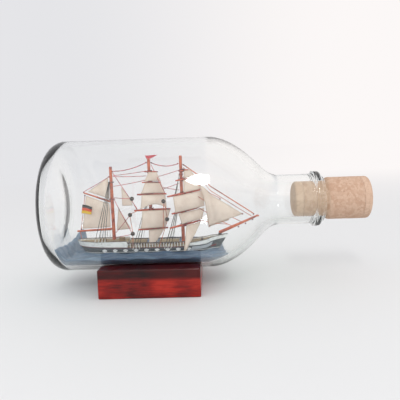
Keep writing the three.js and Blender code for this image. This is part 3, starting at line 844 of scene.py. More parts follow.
def levelOnSide(x, z):  # the share of the side's height at a height above the water
    return (z + hullShape["draught"]) / (sheerAt(x) + hullShape["draught"])


def stations(first, last, count):  # closer together towards both ends of the hull
    aft, fore = hullShape["aft"], hullShape["fore"]
    spots = [(1 - math.cos(math.pi * i / 240)) / 2 * (fore - aft) + aft for i in range(241)]
    inside = [x for x in spots if first < x < last]
    step = max(1, round(len(inside) / count))
    return [first] + inside[::step] + [last]


# A closed skin from cross sections of equal length, each a closed loop of points.
def skinned(sections):
    size = len(sections[0])
    points = [p for section in sections for p in section]
    faces = [tuple(range(size)), tuple(range(len(points) - size, len(points)))[::-1]]
    for j in range(len(sections) - 1):
        for i in range(size):
            k = (i + 1) % size
            faces.append((j * size + k, j * size + i, (j + 1) * size + i, (j + 1) * size + k))
    return points, faces


def facingOut(piece):
    work = bmesh.new()
    work.from_mesh(piece.data)
    bmesh.ops.remove_doubles(work, verts=work.verts, dist=1e-7)
    bmesh.ops.recalc_face_normals(work, faces=work.faces)
    work.to_mesh(piece.data)
    work.free()
    return piece


def sharpEdges(piece, degrees=32):
    piece.data.set_sharp_from_angle(angle=math.radians(degrees))
    return piece


def buildHull():
    s = hullShape
    rows = 10
    sections = []
    for x in stations(s["aft"], s["fore"], 90):
        near = [sidePoint(x, i / rows, -1) for i in range(rows + 1)]
        far = [sidePoint(x, i / rows, 1) for i in range(rows + 1)]
        sections.append(near + far[::-1])
    points, faces = skinned(sections)
    sharpEdges(facingOut(makePiece("hullPlanking", points, faces, looks["hull"], instead="hull")))


# A painted strip along the side between two heights above the water, standing a little proud.
def sideStrip(first, last, lowAt, highAt, proud):
    shapes = []
    for side in (-1, 1):
        sections = []
        for x in stations(first, last, 70):
            low, high = levelOnSide(x, lowAt(x)), levelOnSide(x, highAt(x))
            sections.append([
                sidePoint(x, low, side, -0.1), sidePoint(x, low, side, proud),
                sidePoint(x, high, side, proud), sidePoint(x, high, side, -0.1),
            ])
        shapes.append(skinned(sections))
    return gathered(shapes)


strips = [
    ("waterlineStripe", "white", "white_paint", -43.3, 42.8, lambda x: 0.25, lambda x: 0.5, 0.1),
    ("sheerStripe", "red", "hull_paint", -43.2, 19.0, lambda x: sheerAt(x) - 0.42,
     lambda x: sheerAt(x) - 0.05, 0.12),
    ("bowPlate", "plate", "white_paint", 22.5, 36.5, lambda x: sheerAt(x) - 2.7, lambda x: sheerAt(x) - 0.7,
     0.1),
    ("bowPatch", "red", "hull_paint", 36.9, 39.6, lambda x: sheerAt(x) - 3.9, lambda x: sheerAt(x) - 2.9,
     0.1),
]


def buildStrips():
    for name, look, slot, first, last, lowAt, highAt, proud in strips:
        points, faces = sideStrip(first, last, lowAt, highAt, proud)
        facingOut(makePiece(name, points, faces, looks[look], smooth=False))


ports = {
    "first": -29.2, "last": 20.9, "count": 9, "height": 1.5, "wide": 2.6, "tall": 2.1, "proud": 0.24,
    "corner": 0.6,
}


# Runs a node tree on a piece with its inputs set by name, and keeps the result as a plain mesh.
def runTree(piece, tree, values):
    modifier = piece.modifiers.new("nodes", "NODES")
    modifier.node_group = tree
    for item in tree.interface.items_tree:
        if item.in_out == "INPUT" and item.name in values:
            modifier[item.identifier] = values[item.name]
    return settle(piece)


# Sets one small mesh at every guide point, by Geometry Nodes, turned by the point's own "turn".
def pointsTree():
    tree = bpy.data.node_groups.new("shapeAtPoints", "GeometryNodeTree")
    tree.interface.new_socket("Geometry", in_out="INPUT", socket_type="NodeSocketGeometry")
    for label, kind in (("Shape", "NodeSocketObject"), ("Finish", "NodeSocketMaterial"),
                        ("Size", "NodeSocketFloat")):
        tree.interface.new_socket(label, in_out="INPUT", socket_type=kind)
    tree.interface.new_socket("Geometry", in_out="OUTPUT", socket_type="NodeSocketGeometry")
    given = addNode(tree, "NodeGroupInput")
    shape = addNode(tree, "GeometryNodeObjectInfo", inputs={"Object": given.outputs["Shape"]})
    turned = addNode(tree, "GeometryNodeInputNamedAttribute", {"data_type": "FLOAT_VECTOR"}, {"Name": "turn"})
    placed = addNode(tree, "GeometryNodeInstanceOnPoints", inputs={
        "Points": given.outputs["Geometry"], "Instance": shape.outputs["Geometry"],
        "Rotation": turned.outputs[0], "Scale": given.outputs["Size"],
    })
    real = addNode(tree, "GeometryNodeRealizeInstances", inputs={0: placed.outputs[0]})
    painted = addNode(tree, "GeometryNodeSetMaterial", inputs={
        "Geometry": real.outputs[0], "Material": given.outputs["Finish"],
    })
    addNode(tree, "NodeGroupOutput", inputs={0: painted.outputs[0]})
    return tree


pointNodes = pointsTree()


def setAtPoints(name, shapeMesh, spots, turns, look, size=1.0):
    shapeObject = bpy.data.objects.new(name + "Shape", shapeMesh)
    guide = makePiece(name, spots, [], looks[look])
    turn = guide.data.attributes.new("turn", "FLOAT_VECTOR", "POINT")
    turn.data.foreach_set("vector", [c for t in (turns or [(0, 0, 0)] * len(spots)) for c in t])
    runTree(guide, pointNodes, {"Shape": shapeObject, "Finish": looks[look], "Size": size})
    bpy.data.objects.remove(shapeObject)
    return guide


def buildPorts():
    p = ports
    plate = bpy.data.meshes.new("portPlate")
    work = bmesh.new()
    bmesh.ops.create_cube(work, size=1)
    bmesh.ops.scale(work, vec=(p["wide"] * mm, 0.6 * mm, p["tall"] * mm), verts=work.verts)
    upright = [e for e in work.edges if abs(e.verts[0].co.y - e.verts[1].co.y) > 1e-5]
    bmesh.ops.bevel(work, geom=upright, offset=p["corner"] * mm, segments=4, affect="EDGES")
    rim = [e for e in work.edges if abs(e.calc_face_angle(0)) > 1.2]
    bmesh.ops.bevel(work, geom=rim, offset=0.08 * mm, segments=2, affect="EDGES")
    work.to_mesh(plate)
    work.free()
    spots, turns = [], []
    for side in (-1, 1):
        for i in range(p["count"]):
            x = mix(p["first"], p["last"], i / (p["count"] - 1))
            up = levelOnSide(x, p["height"])
            here = sidePoint(x, up, side, p["proud"] - 0.3)
            there = sidePoint(x + 0.5, up, side, p["proud"] - 0.3)
            spots.append(here)
            turns.append((0, 0, math.atan2(there.y - here.y, there.x - here.x)))
    setAtPoints("gunPorts", plate, spots, turns, "white")


# An end deck: white sides with a rim, and a planked well inside it.
def buildEndDeck(name, node, first, last, topAt, rakeAft, rakeFore):
    s = hullShape
    sides, planks = [], []
    span = last - first
    for x in stations(first, last, 40):
        share = (x - first) / span
        half = breadthAt(x) - 0.03
        inner = max(half - s["rim"], half * 0.3)
        foot, top = sheerAt(x) + 0.02, topAt(x)
        well = top - s["wellDepth"]
        lean = rakeFore * share - rakeAft * (1 - share)
        def at(y, z):
            return aboard(x + lean * (z - foot) / max(top - foot, 0.1), y, z)
        sides.append([
            at(-half, foot), at(-half, top), at(-inner, top), at(-inner, well),
            at(inner, well), at(inner, top), at(half, top), at(half, foot),
        ])
        planks.append([at(-inner, well - 0.2), at(-inner, well + 0.04), at(inner, well + 0.04),
                       at(inner, well - 0.2)])
    points, faces = skinned(sides)
    facingOut(makePiece(name + "Sides", points, faces, looks["white"], instead=node,
                        smooth=False))
    points, faces = skinned(planks)
    facingOut(makePiece(name + "Planks", points, faces, looks["deck"], smooth=False))
    caps = []
    for side in (-1, 1):
        line = []
        for x in stations(first + 0.2, last - 0.1, 40):
            share = (x - first) / span
            lean = rakeFore * share - rakeAft * (1 - share)
            y = side * (breadthAt(x) - s["rim"] / 2)
            z = topAt(x)
            line.append([
                aboard(x + lean, y - 0.36 * side, z), aboard(x + lean, y + 0.36 * side, z),
                aboard(x + lean, y + 0.36 * side, z + 0.2), aboard(x + lean, y - 0.36 * side, z + 0.2),
            ])
        caps.append(skinned(line))
    points, faces = gathered(caps)
    facingOut(makePiece(name + "CapRail", points, faces, looks["rail"], smooth=False))


def buildWaist():
    s = hullShape
    planks = []
    for x in stations(s["poopFore"] + 0.2, s["forecastleAft"] - 0.1, 30):
        half = breadthAt(x) - 0.35
        z = sheerAt(x)
        planks.append([aboard(x, -half, z - 0.3), aboard(x, -half, z + 0.06), aboard(x, half, z + 0.06),
                       aboard(x, half, z - 0.3)])
    points, faces = skinned(planks)
    facingOut(makePiece("waistPlanks", points, faces, looks["deck"], smooth=False))


buildHull()
buildStrips()
buildPorts()
buildEndDeck("poop", "poop", hullShape["aft"], hullShape["poopFore"], poopAt, 1.0, 0.0)
buildEndDeck("forecastle", "forecastle", hullShape["forecastleAft"], hullShape["fore"], forecastleAt, 0.0,
             1.2)
buildWaist()
print("hull built")

# Rails, deckhouses and deck gear.
railing = {
    "postHeight": 2.5, "postWidth": 0.34, "spacing": 1.55, "railWide": 0.6, "railTall": 0.34, "inset": 0.25,
}


# A rail on posts over a guide line, by Geometry Nodes: posts at even steps, and a bar swept along their tops.
def railTree():
    tree = bpy.data.node_groups.new("railOnPosts", "GeometryNodeTree")
    tree.interface.new_socket("Geometry", in_out="INPUT", socket_type="NodeSocketGeometry")
    for label in ("Post Height", "Post Width", "Spacing", "Rail Wide", "Rail Tall"):
        tree.interface.new_socket(label, in_out="INPUT", socket_type="NodeSocketFloat")
    for label in ("Post Finish", "Rail Finish"):
        tree.interface.new_socket(label, in_out="INPUT", socket_type="NodeSocketMaterial")
    tree.interface.new_socket("Geometry", in_out="OUTPUT", socket_type="NodeSocketGeometry")
    given = addNode(tree, "NodeGroupInput")
    line = addNode(tree, "GeometryNodeMeshToCurve", inputs={0: given.outputs["Geometry"]})
    spaced = addNode(tree, "GeometryNodeResampleCurve", {"mode": "LENGTH"}, {
        "Curve": line.outputs[0], "Length": given.outputs["Spacing"],
    })
    size = addNode(tree, "ShaderNodeCombineXYZ", inputs={
        "X": given.outputs["Post Width"], "Y": given.outputs["Post Width"], "Z": given.outputs["Post Height"],
    })
    post = addNode(tree, "GeometryNodeMeshCube", inputs={"Size": size.outputs[0]})
    halfUp = addNode(tree, "ShaderNodeMath", {"operation": "MULTIPLY"},
                     {0: given.outputs["Post Height"], 1: 0.5})
    lift = addNode(tree, "ShaderNodeCombineXYZ", inputs={"Z": halfUp.outputs[0]})
    raised = addNode(tree, "GeometryNodeTransform",
                     inputs={"Geometry": post.outputs[0], "Translation": lift.outputs[0]})
    posts = addNode(tree, "GeometryNodeInstanceOnPoints", inputs={
        "Points": spaced.outputs[0], "Instance": raised.outputs[0],
    })
    real = addNode(tree, "GeometryNodeRealizeInstances", inputs={0: posts.outputs[0]})
    paintedPosts = addNode(tree, "GeometryNodeSetMaterial", inputs={
        "Geometry": real.outputs[0], "Material": given.outputs["Post Finish"],
    })
    section = addNode(tree, "GeometryNodeCurvePrimitiveQuadrilateral", inputs={
        "Width": given.outputs["Rail Wide"], "Height": given.outputs["Rail Tall"],
    })
    swept = addNode(tree, "GeometryNodeCurveToMesh", inputs={
        "Curve": line.outputs[0], "Profile Curve": section.outputs[0], "Fill Caps": True,
    })
    top = addNode(tree, "ShaderNodeCombineXYZ", inputs={"Z": given.outputs["Post Height"]})
    upper = addNode(tree, "GeometryNodeTransform",
                    inputs={"Geometry": swept.outputs[0], "Translation": top.outputs[0]})
    paintedRail = addNode(tree, "GeometryNodeSetMaterial", inputs={
        "Geometry": upper.outputs[0], "Material": given.outputs["Rail Finish"],
    })
    both = addNode(tree, "GeometryNodeJoinGeometry")
    tree.links.new(paintedPosts.outputs[0], both.inputs[0])
    tree.links.new(paintedRail.outputs[0], both.inputs[0])
    addNode(tree, "NodeGroupOutput", inputs={0: both.outputs[0]})
    return tree


railNodes = railTree()


def buildRail(name, lines, post, rail, postHeight):
    points, edges = [], []
    for line in lines:
        start = len(points)
        points += line
        edges += [(start + i, start + i + 1) for i in range(len(line) - 1)]
    guide = makePiece(name, points, [], [])
    guide.data.clear_geometry()
    guide.data.from_pydata([tuple(p) for p in points], edges, [])
    r = railing
    runTree(guide, railNodes, {
        "Post Height": postHeight * mm, "Post Width": r["postWidth"] * mm, "Spacing": r["spacing"] * mm,
        "Rail Wide": r["railTall"] * mm, "Rail Tall": r["railWide"] * mm, "Post Finish": post,
        "Rail Finish": rail,
    })


def buildRails():
    s = hullShape
    lines = []
    for side in (-1, 1):
        lines.append([
            aboard(x, side * (breadthAt(x) - railing["inset"]), sheerAt(x))
            for x in stations(s["poopFore"] + 0.3, s["forecastleAft"] - 0.3, 40)
        ])
    buildRail("waistRails", lines, looks["white"], looks["rail"], railing["postHeight"])


def blockShape(low, high, grow=0.0, rise=0.0):
    x0, y0, z0 = low
    x1, y1, z1 = high
    middle = (y0 + y1) / 2
    points = [(x, y, z0) for x in (x0, x1) for y in (y0, y1)] + [(x, y, z1) for x in (x0, x1) for y in (y0,
            y1)]
    points += [(x0 - grow, middle, z1 + rise), (x1 + grow, middle, z1 + rise)]
    faces = [(0, 1, 3, 2), (0, 4, 8, 5, 1), (2, 3, 7, 9, 6), (0, 2, 6, 4), (1, 5, 7, 3), (4, 6, 9, 8),
             (5, 8, 9, 7)]
    return [Vector(p) for p in points], faces


houses = {"overhang": 0.35, "roofTall": 0.35, "camber": 0.35, "windowWide": 0.8, "windowTall": 0.7,
          "windowStep": 1.9}


def buildHouse(name, node):
    h = houses
    low, high = (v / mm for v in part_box(node))
    roofLow = (low.x - h["overhang"], low.y - h["overhang"], high.z - h["roofTall"])
    roofHigh = (high.x + h["overhang"], high.y + h["overhang"], high.z)
    walls = blockShape((low.x, low.y, low.z), (high.x, high.y, high.z - h["roofTall"]))
    roof = blockShape(roofLow, roofHigh, 0, h["camber"])
    windows = []
    count = int((high.x - low.x - 1) / h["windowStep"])
    for i in range(count):
        x = (low.x + high.x) / 2 + (i - (count - 1) / 2) * h["windowStep"]
        for y in (low.y, high.y):
            windows.append(blockShape(
                (x - h["windowWide"] / 2, y - 0.08, low.z + 0.7),
                (x + h["windowWide"] / 2, y + 0.08, low.z + 0.7 + h["windowTall"]),
            ))
    for part, shapes, look in (("Walls", [walls], "house"), ("Roof", [roof], "deck"),
                               ("Windows", windows, "rail")):
        points, faces = gathered(shapes)
        piece = makePiece(
            name + part, [p * mm for p in points], faces, looks[look], smooth=False,
            instead=node if part == "Walls" else (),
        )
        facingOut(piece)
        soft = piece.modifiers.new("edges", "BEVEL")
        soft.width = 0.06 * mm
        soft.segments = 2
        settle(piece)


deckGear = [  # low corner and high corner above the local deck: hatches, skylight, windlass bed and bitts
    ("mainHatch", (0.4, -1.9, 3.1), (2.6, 1.9, 3.9), "house"),
    ("foreHatch", (17.9, -1.3, 3.4), (19.9, 1.3, 4.2), "house"),
    ("poopSkylight", (-31.6, -1.3, 5.7), (-28.0, 1.3, 7.5), "house"),
    ("companionway", (-20.2, -1.2, 5.7), (-17.0, 1.2, 7.9), "house"),
    ("windlassBed", (27.2, -2.0, 4.8), (28.6, 2.0, 6.2), "rail"),
    ("bowspritChock", (39.2, -0.9, 6.4), (40.8, 0.9, 8.9), "rail"),
]


def buildDeckGear():
    for name, low, high, look in deckGear:
        points, faces = blockShape(low, high, 0, 0.25)
        piece = makePiece(name, [aboard(*p) for p in points], faces, looks[look], smooth=False)
        facingOut(piece)
        soft = piece.modifiers.new("edges", "BEVEL")
        soft.width = 0.1 * mm
        soft.segments = 2
        settle(piece)


buildRails()
buildHouse("aftHouse", "aft_deckhouse")
buildHouse("midHouse", "midship_deckhouse")
buildDeckGear()
print("decks, rails and houses built")

# Sea.
seaShape = {"below": 27.5, "clear": 0.42, "ripple": 0.16, "rippleSize": 2.6, "side": 44, "pocketDepth": 1.9,
            "tuck": 0.12}


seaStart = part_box("sea")[0].x / mm


def seaTop(x, y):
    swell = 0.35 * math.sin(x * 0.42 + y * 0.2) + 0.25 * math.sin(y * 0.7 - x * 0.16)
    bank = 2.2 * smoothStep(abs(y), 12, 24)
    heap = 6 * smoothStep(-x, 44.5, 48.5) - 5 * smoothStep(-x, 49.5, -seaStart)
    return swell + bank + max(heap, -2)


def innerWallLine():
    s = glassSizes
    inner = bottleRadius / mm - s["wall"]
    base = bottleLow.x / mm + s["baseGlass"]
    heel = s["heel"] - s["wall"]
    line = arcLine(base + heel, inner - heel, heel, math.pi, math.pi / 2, 14)
    return line + shoulderLine(inner, s["bore"], s["shoulderStart"] - s["wall"], s["shoulderLength"])


def buildSea():
    s = seaShape
    low, high = (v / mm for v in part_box("sea"))
    wallX, wallR = zip(*innerWallLine())
    outline = [sidePoint(x, levelOnSide(x, 0), 1) / mm for x in stations(hullShape["aft"],
            hullShape["fore"], 120)]
    outlineX, outlineY = [p.x for p in outline], [p.y for p in outline]
    rows = [mix(low.x, high.x, i / 170) for i in range(171)]
    rows += [outlineX[0] - 0.05, outlineX[0] + 0.05, outlineX[-1] - 0.05, outlineX[-1] + 0.05]
    sections = []
    for x in sorted(r for r in rows if low.x <= r <= high.x):
        radius = float(np.interp(x, wallX, wallR)) - s["clear"]
        reach = math.sqrt(radius**2 - (seaTop(x, 20) - s["below"]) ** 2) * 0.985
        edge = max(float(np.interp(x, outlineX, outlineY)) - s["tuck"], 0.2)
        afloat = outlineX[0] < x < outlineX[-1]
        spots = [mix(-reach, -edge, (i / s["side"]) ** 0.8) for i in range(s["side"] + 1)]
        inner = [edge * t for t in (-0.97, -0.4, 0.4, 0.97)]
        spots = spots + inner + [-y for y in spots[::-1]]
        top, bottom = [], []
        for y in spots:
            under = -math.sqrt(max(radius**2 - y * y, 0)) + s["below"]
            ripple = noise.noise(Vector((x / s["rippleSize"], y / s["rippleSize"] * 1.6, 3.1))) * s["ripple"]
            ripple += noise.noise(Vector((x / 7, y / 4, 8.4))) * s["ripple"] * 1.6
            z = max(seaTop(x, y) + ripple, under + 0.6)
            if y in inner and afloat:
                z = -s["pocketDepth"]
            top.append(aboard(x, y, z))
            bottom.append(aboard(x, y, under))
        sections.append(top + bottom[::-1])
    points, faces = skinned(sections)
    sharpEdges(facingOut(makePiece("seaPutty", points, faces, looks["sea"], instead="sea")), 50)


buildSea()
print("sea built")

# Masts, yards and other spars.
spars = {
    "sides": 20, "wobble": 0.05,
    "masts": [
        ("mizzen_mast", "mizzenMastSpar", 1.0, 0.85), ("main_mast", "mainMastSpar", 1.0, 0.85),
        ("fore_mast", "foreMastSpar", 1.0, 0.85), ("bowsprit", "bowspritSpar", 0.95, 0.6),
    ],
    "booms": [("gaff", "gaffSpar", 0.4, 0.6), ("boom", "boomSpar", 0.5, 0.7)],
}
mastPlaces = {
    "mizzen": {"x": -23.3, "brace": 0.0, "tilt": 0.0},
    "main": {"x": -1.3, "brace": 30.0, "tilt": -3.0},
    "fore": {"x": 16.9, "brace": 35.0, "tilt": 5.5},
}
yardTable = {  # heights above the water and radii of the yards, top down
    "main": [("skysail", 45.8, 0.45), ("royal", 39.8, 0.5), ("topgallant", 33, 0.65),
             ("topsail", 24.1, 0.65), ("course", 13.1, 0.65)],
    "fore": [("skysail", 46, 0.45), ("royal", 41, 0.5), ("topgallant", 33, 0.65), ("topsail", 22.9, 0.65),
             ("course", 15.1, 0.65)],
}


# A hand-cut dowel between two points: radii along it as [share, radius], with rounded ends.
def sparShape(start, end, radii, sides, seed):
    length = (end - start).length / mm
    shares, widths = zip(*radii)
    profile = [(0, 0), (0, widths[0] * 0.72)]
    steps = max(8, round(length / 1.2))
    for i in range(steps + 1):
        along = mix(0.14, length - 0.14, i / steps)
        width = float(np.interp(along / length, shares, widths))
        profile.append((along, width * (1 + noise.noise(Vector((along / 2.2, seed * 3.7,
                0))) * spars["wobble"])))
    profile += [(length, widths[-1] * 0.72), (length, 0)]
    return turnedShape(start, end - start, [(a * mm, r * mm) for a, r in profile], sides)


def buildSpars():
    seed = 1
    for node, name, thick, thin in spars["masts"] + spars["booms"]:
        start, end, radius = barEnds(node)
        points, faces = sparShape(start, end, [(0, thick), (1, thin)], spars["sides"], seed)
        makePiece(name, points, faces, looks["mast"], instead=node)
        seed += 1
    for mast, yards in yardTable.items():
        for label, height, radius in yards:
            node = f"{mast}_{label}_yard"
            start, end, _ = barEnds(node)
            shape = [(0, radius * 0.7), (0.3, radius * 0.96), (0.5, radius), (0.7, radius * 0.96),
                     (1, radius * 0.7)]
            points, faces = sparShape(start, end, shape, spars["sides"], seed)
            makePiece(mast + label.capitalize() + "YardSpar", points, faces, looks["yard"], instead=node)
            seed += 1


mastTops = [  # mast, height above the water, half length and half width of the small platform round it
    ("mizzen", 30.3, 1.5, 1.7), ("main", 29.6, 1.7, 2.0), ("main", 42.6, 1.3, 1.4),
    ("fore", 29.4, 1.7, 2.0), ("fore", 43.4, 1.3, 1.4),
]


def buildMastTops():
    shapes = []
    for mast, height, long, wide in mastTops:
        x = mastPlaces[mast]["x"]
        low, high = aboard(x - long, -wide * 0.6, height), aboard(x + long, wide * 0.6, height + 0.6)
        shapes.append(blockShape(low, high, 0.0, 0.00015))
    points, faces = gathered(shapes)
    piece = facingOut(makePiece("mastTopBoards", points, faces, looks["red"], smooth=False))
    soft = piece.modifiers.new("edges", "BEVEL")
    soft.width = 0.12 * mm
    soft.segments = 2
    settle(piece)


buildSpars()
buildMastTops()
print("spars built")

# Sails.
sailLook = {"thick": 0.2, "spacing": 0.32, "crease": 0.12}
# mast, sail, head and foot as (shift, half width), top, bottom, belly, arch, lean
squareSails = [
    ("main", "royal", (0.4, 2.4), (0.4, 5), 45.6, 40.4, 0.9, 0.3, 0),
    ("main", "topgallant", (0.4, 4.8), (0.4, 7.4), 39.6, 33.6, 1.4, 0.3, 0),
    ("main", "upper_topsail", (0.4, 7.2), (0.4, 8), 32.8, 24.7, 2.0, 2.8, 0),
    ("main", "topsail", (1.8, 8.6), (-0.5, 7.3), 23.9, 13.8, 2.4, 0.3, 0),
    ("main", "course", (1.5, 4.9), (-1.7, 1.5), 12.9, 3.9, 0.9, 0.3, 0),
    ("fore", "royal", (1.6, 2.2), (2.6, 3.6), 45.8, 41.6, 0.9, 0.3, 0),
    ("fore", "topgallant", (2.6, 3.8), (4.4, 6.4), 40.8, 33.7, 1.8, 0.3, 0),
    ("fore", "upper_topsail", (1.6, 10), (1.6, 10), 32.6, 23.5, 2.8, 0.3, 0),
    ("fore", "topsail", (3.6, 8.8), (3, 7), 22.4, 15.9, 1.8, 0.8, 0),
    ("fore", "course", (5, 5), (-5.5, 0.8), 14.6, 1.8, 1.0, 0.3, 4.3),
]
rigRoom = {"standoff": 2.9, "yard": 0.65, "gap": 0.3}


def yardFrame(mast, height, forward=0.0):  # the turn and place of a yard's own level, in millimetres
    place = mastPlaces[mast]
    return (
        Matrix.Translation((place["x"], 0, 0)) @ Matrix.Rotation(math.radians(place["brace"]), 4, "Z")
        @ Matrix.Translation((0, -rigRoom["standoff"] - forward, height))
        @ Matrix.Rotation(math.radians(-place["tilt"]), 4, "Y")
    )


def finishSail(name, node, points, faces, edgeDistances, look=None):
    piece = makePiece(name, points, faces, look or looks["sail"], instead=node)
    layer = piece.data.attributes.new("edgeDistance", "FLOAT", "POINT")
    layer.data.foreach_set("value", edgeDistances)
    area = sum(face.area for face in piece.data.polygons)
    thick = piece.modifiers.new("thickness", "SOLIDIFY")
    thick.thickness = sailLook["thick"] * mm
    thick.offset = 0
    settle(piece)
    return piece, area


def declareSail(width, length, area):
    width, length = max(width * mm, 0.01), max(length * mm, 0.01)
    area = min(max(area, 0.3 * width * length), width * length)


def buildSquareSails():
    for mast, label, head, foot, top, bottom, belly, arch, lean in squareSails:
        frameOf = yardFrame(mast, top, rigRoom["yard"] + rigRoom["gap"])
        seed = len(label) * 1.7 + head[1]
        tall = top - bottom
        wide = 2 * max(head[1], foot[1])
        across, along = max(10, round(wide / sailLook["spacing"])), max(10, round(tall / sailLook["spacing"]))
        edges = []

        def place(u, v):
            side, down = 2 * u - 1, 1 - v
            half = mix(head[1], foot[1], down)
            fullness = math.sin(math.pi * min(0.62 * down + 0.08, 1)) * (1 - 0.75 * side * side)
            rise = arch * down * down * (1 - side * side)
            fold = noise.noise(Vector((side * half / 2.2 + seed, down * tall / 9,
                                       seed))) * sailLook["crease"] * 2.4
            corner = abs(side) ** 3 * down * math.sin(down * tall * 1.4 + side * half
                                                      * 1.1) * sailLook["crease"]
            y = -belly * fullness - lean * down - 0.175 + (fold + corner) * smoothStep(down, 0.02, 0.3)
            edges.append(min((1 - abs(side)) * half, down * tall, v * tall))
            x = mix(head[0], foot[0], down) + side * half
            return aboard(*(frameOf @ Vector((x, y, -tall * down + rise))))

        points, faces = gridSheet(place, across, along)
        words = label.split("_")
        name = mast + "".join(w.capitalize() for w in words) + "Sail"
        piece, area = finishSail(name, f"{mast}_{label}", points, faces, edges)
        declareSail(wide, tall, area)


stayedSails = [  # node, piece name, what it hangs from, belly, folds across it
    ("gaff_topsail", "gaffTopsailCloth", "mizzenMastSpar", 0.6, 0.10),
    ("spanker", "spankerCloth", "gaffSpar", 0.9, 0.14),
    ("mizzen_staysail", "mizzenStaysailCloth", "mainMastSpar", 0.4, 0.08),
    ("main_staysail", "mainStaysailCloth", "mizzenMastSpar", 0.4, 0.08),
    ("jib", "outerJibCloth", "headStayLine", 0.9, 0.30),
    ("inner_jib", "innerJibCloth", "headStayLine", 0.7, 0.22),
]


def edgeDistanceIn(corners, point):
    best = 1e9
    for a, b in zip(corners, corners[1:] + corners[:1]):
        way = b - a
        t = min(max((point - a).dot(way) / way.length_squared, 0), 1)
        best = min(best, (point - a - way * t).length)
    return best / mm


def buildStayedSails():
    for node, name, holder, belly, crease in stayedSails:
        corners = sheetCorners(node)
        size = max((b - a).length for a, b in zip(corners, corners[1:] + corners[:1])) / mm
        steps = max(14, round(size / 0.42))
        flat = []
        if len(corners) == 3:
            a, b, c = corners
            flat = [a + (b - a) * (i / steps) + (c - a) * (j / steps) for i in range(steps + 1)
                    for j in range(steps + 1 - i)]
            starts = [sum(steps + 1 - k for k in range(i)) for i in range(steps + 1)]
            faces = []
            for i in range(steps):
                for j in range(steps - i):
                    faces.append((starts[i] + j, starts[i + 1] + j, starts[i] + j + 1))
                    if j < steps - i - 1:
                        faces.append((starts[i + 1] + j, starts[i + 1] + j + 1, starts[i] + j + 1))
        else:
            a, b, c, d = corners
            flat, faces = gridSheet(lambda u, v: (a.lerp(b, u)).lerp(d.lerp(c, u), v), steps, steps)
        edges = [edgeDistanceIn(corners, p) for p in flat]
        widest = max(edges)
        points = []
        for p, edge in zip(flat, edges):
            full = math.sin(math.pi / 2 * min(edge / widest, 1))
            fold = math.sin(p.x / mm * 1.25 + 0.5 * math.sin(p.z / mm * 0.3)) * crease * smoothStep(edge, 0,
                    2.5)
            points.append(p + Vector((0, -(belly * full) * mm + fold * mm, 0)))
        piece, area = finishSail(name, node, points, faces, edges)
        spread = [max(p[k] for p in flat) - min(p[k] for p in flat) for k in (0, 2)]
        declareSail(spread[0] / mm, spread[1] / mm, area)


buildSquareSails()

# Rigging.
threads = {"sides": 8, "stay": 0.23, "fine": 0.17, "shroud": 0.15, "lanyard": 0.18, "lashing": 0.26,
           "sag": 0.012}


# Thread along guide lines, by Geometry Nodes: every chain of edges becomes a round cord.
def threadTree():
    tree = bpy.data.node_groups.new("threadOnLines", "GeometryNodeTree")
    tree.interface.new_socket("Geometry", in_out="INPUT", socket_type="NodeSocketGeometry")
    tree.interface.new_socket("Radius", in_out="INPUT", socket_type="NodeSocketFloat")
    tree.interface.new_socket("Sides", in_out="INPUT", socket_type="NodeSocketInt")
    tree.interface.new_socket("Thread", in_out="INPUT", socket_type="NodeSocketMaterial")
    tree.interface.new_socket("Geometry", in_out="OUTPUT", socket_type="NodeSocketGeometry")
    given = addNode(tree, "NodeGroupInput")
    line = addNode(tree, "GeometryNodeMeshToCurve", inputs={0: given.outputs["Geometry"]})
    ring = addNode(tree, "GeometryNodeCurvePrimitiveCircle", inputs={
        "Resolution": given.outputs["Sides"], "Radius": given.outputs["Radius"],
    })
    swept = addNode(tree, "GeometryNodeCurveToMesh", inputs={
        "Curve": line.outputs[0], "Profile Curve": ring.outputs[0], "Fill Caps": True,
    })
    real = addNode(tree, "GeometryNodeRealizeInstances", inputs={0: swept.outputs[0]})
    laid = addNode(tree, "GeometryNodeSetMaterial",
                   inputs={"Geometry": real.outputs[0], "Material": given.outputs["Thread"]})
    addNode(tree, "NodeGroupOutput", inputs={0: laid.outputs[0]})
    return tree


threadNodes = threadTree()


def buildThreads(name, lines, look, radius, instead=()):
    points, edges = [], []
    for line in lines:
        start = len(points)
        points += line
        edges += [(start + i, start + i + 1) for i in range(len(line) - 1)]
    guide = makePiece(name, [], [], looks[look], instead=instead)
    guide.data.from_pydata([tuple(p) for p in points], edges, [])
    runTree(guide, threadNodes, {"Radius": radius * mm, "Sides": threads["sides"], "Thread": looks[look]})
    guide.data.shade_smooth()
    return guide


def hangingLine(start, end, sag=None, steps=14):  # between two points (x, y, height above the water)
    a, b = aboard(*start), aboard(*end)
    drop = (threads["sag"] * (b - a).length / mm if sag is None else sag) * mm
    return [a.lerp(b, i / steps) - Vector((0, 0,
            drop * 4 * (i / steps) * (1 - i / steps))) for i in range(steps + 1)]


def throughPoints(places, steps=5):  # a smooth line through (x, y, height) places
    spots = [Vector(p) for p in places]
    line = []
    for i in range(len(spots) - 1):
        a, b, c, d = spots[max(i - 1, 0)], spots[i], spots[i + 1], spots[min(i + 2, len(spots) - 1)]
        for k in range(steps):
            t = k / steps
            line.append(0.5 * (2 * b + (c - a) * t + (2 * a - 5 * b + 4 * c - d) * t * t
                               + (3 * b - 3 * c + d - a) * t**3))
    line.append(spots[-1])
    return [aboard(*p) for p in line]


shroudTable = [  # mast, node, loop height, where its feet stand, the level they come down to
    ("mizzen", "mizzen_shrouds", 40.4, (-33.4, -31.2, -29.2, -27.4), poopAt),
    ("main", "main_shrouds", 31.2, (-11.6, -9.8, -8.0), sheerAt),
    ("fore", "fore_shrouds", 31.2, (6.4, 8.2, 10.0), sheerAt),
]


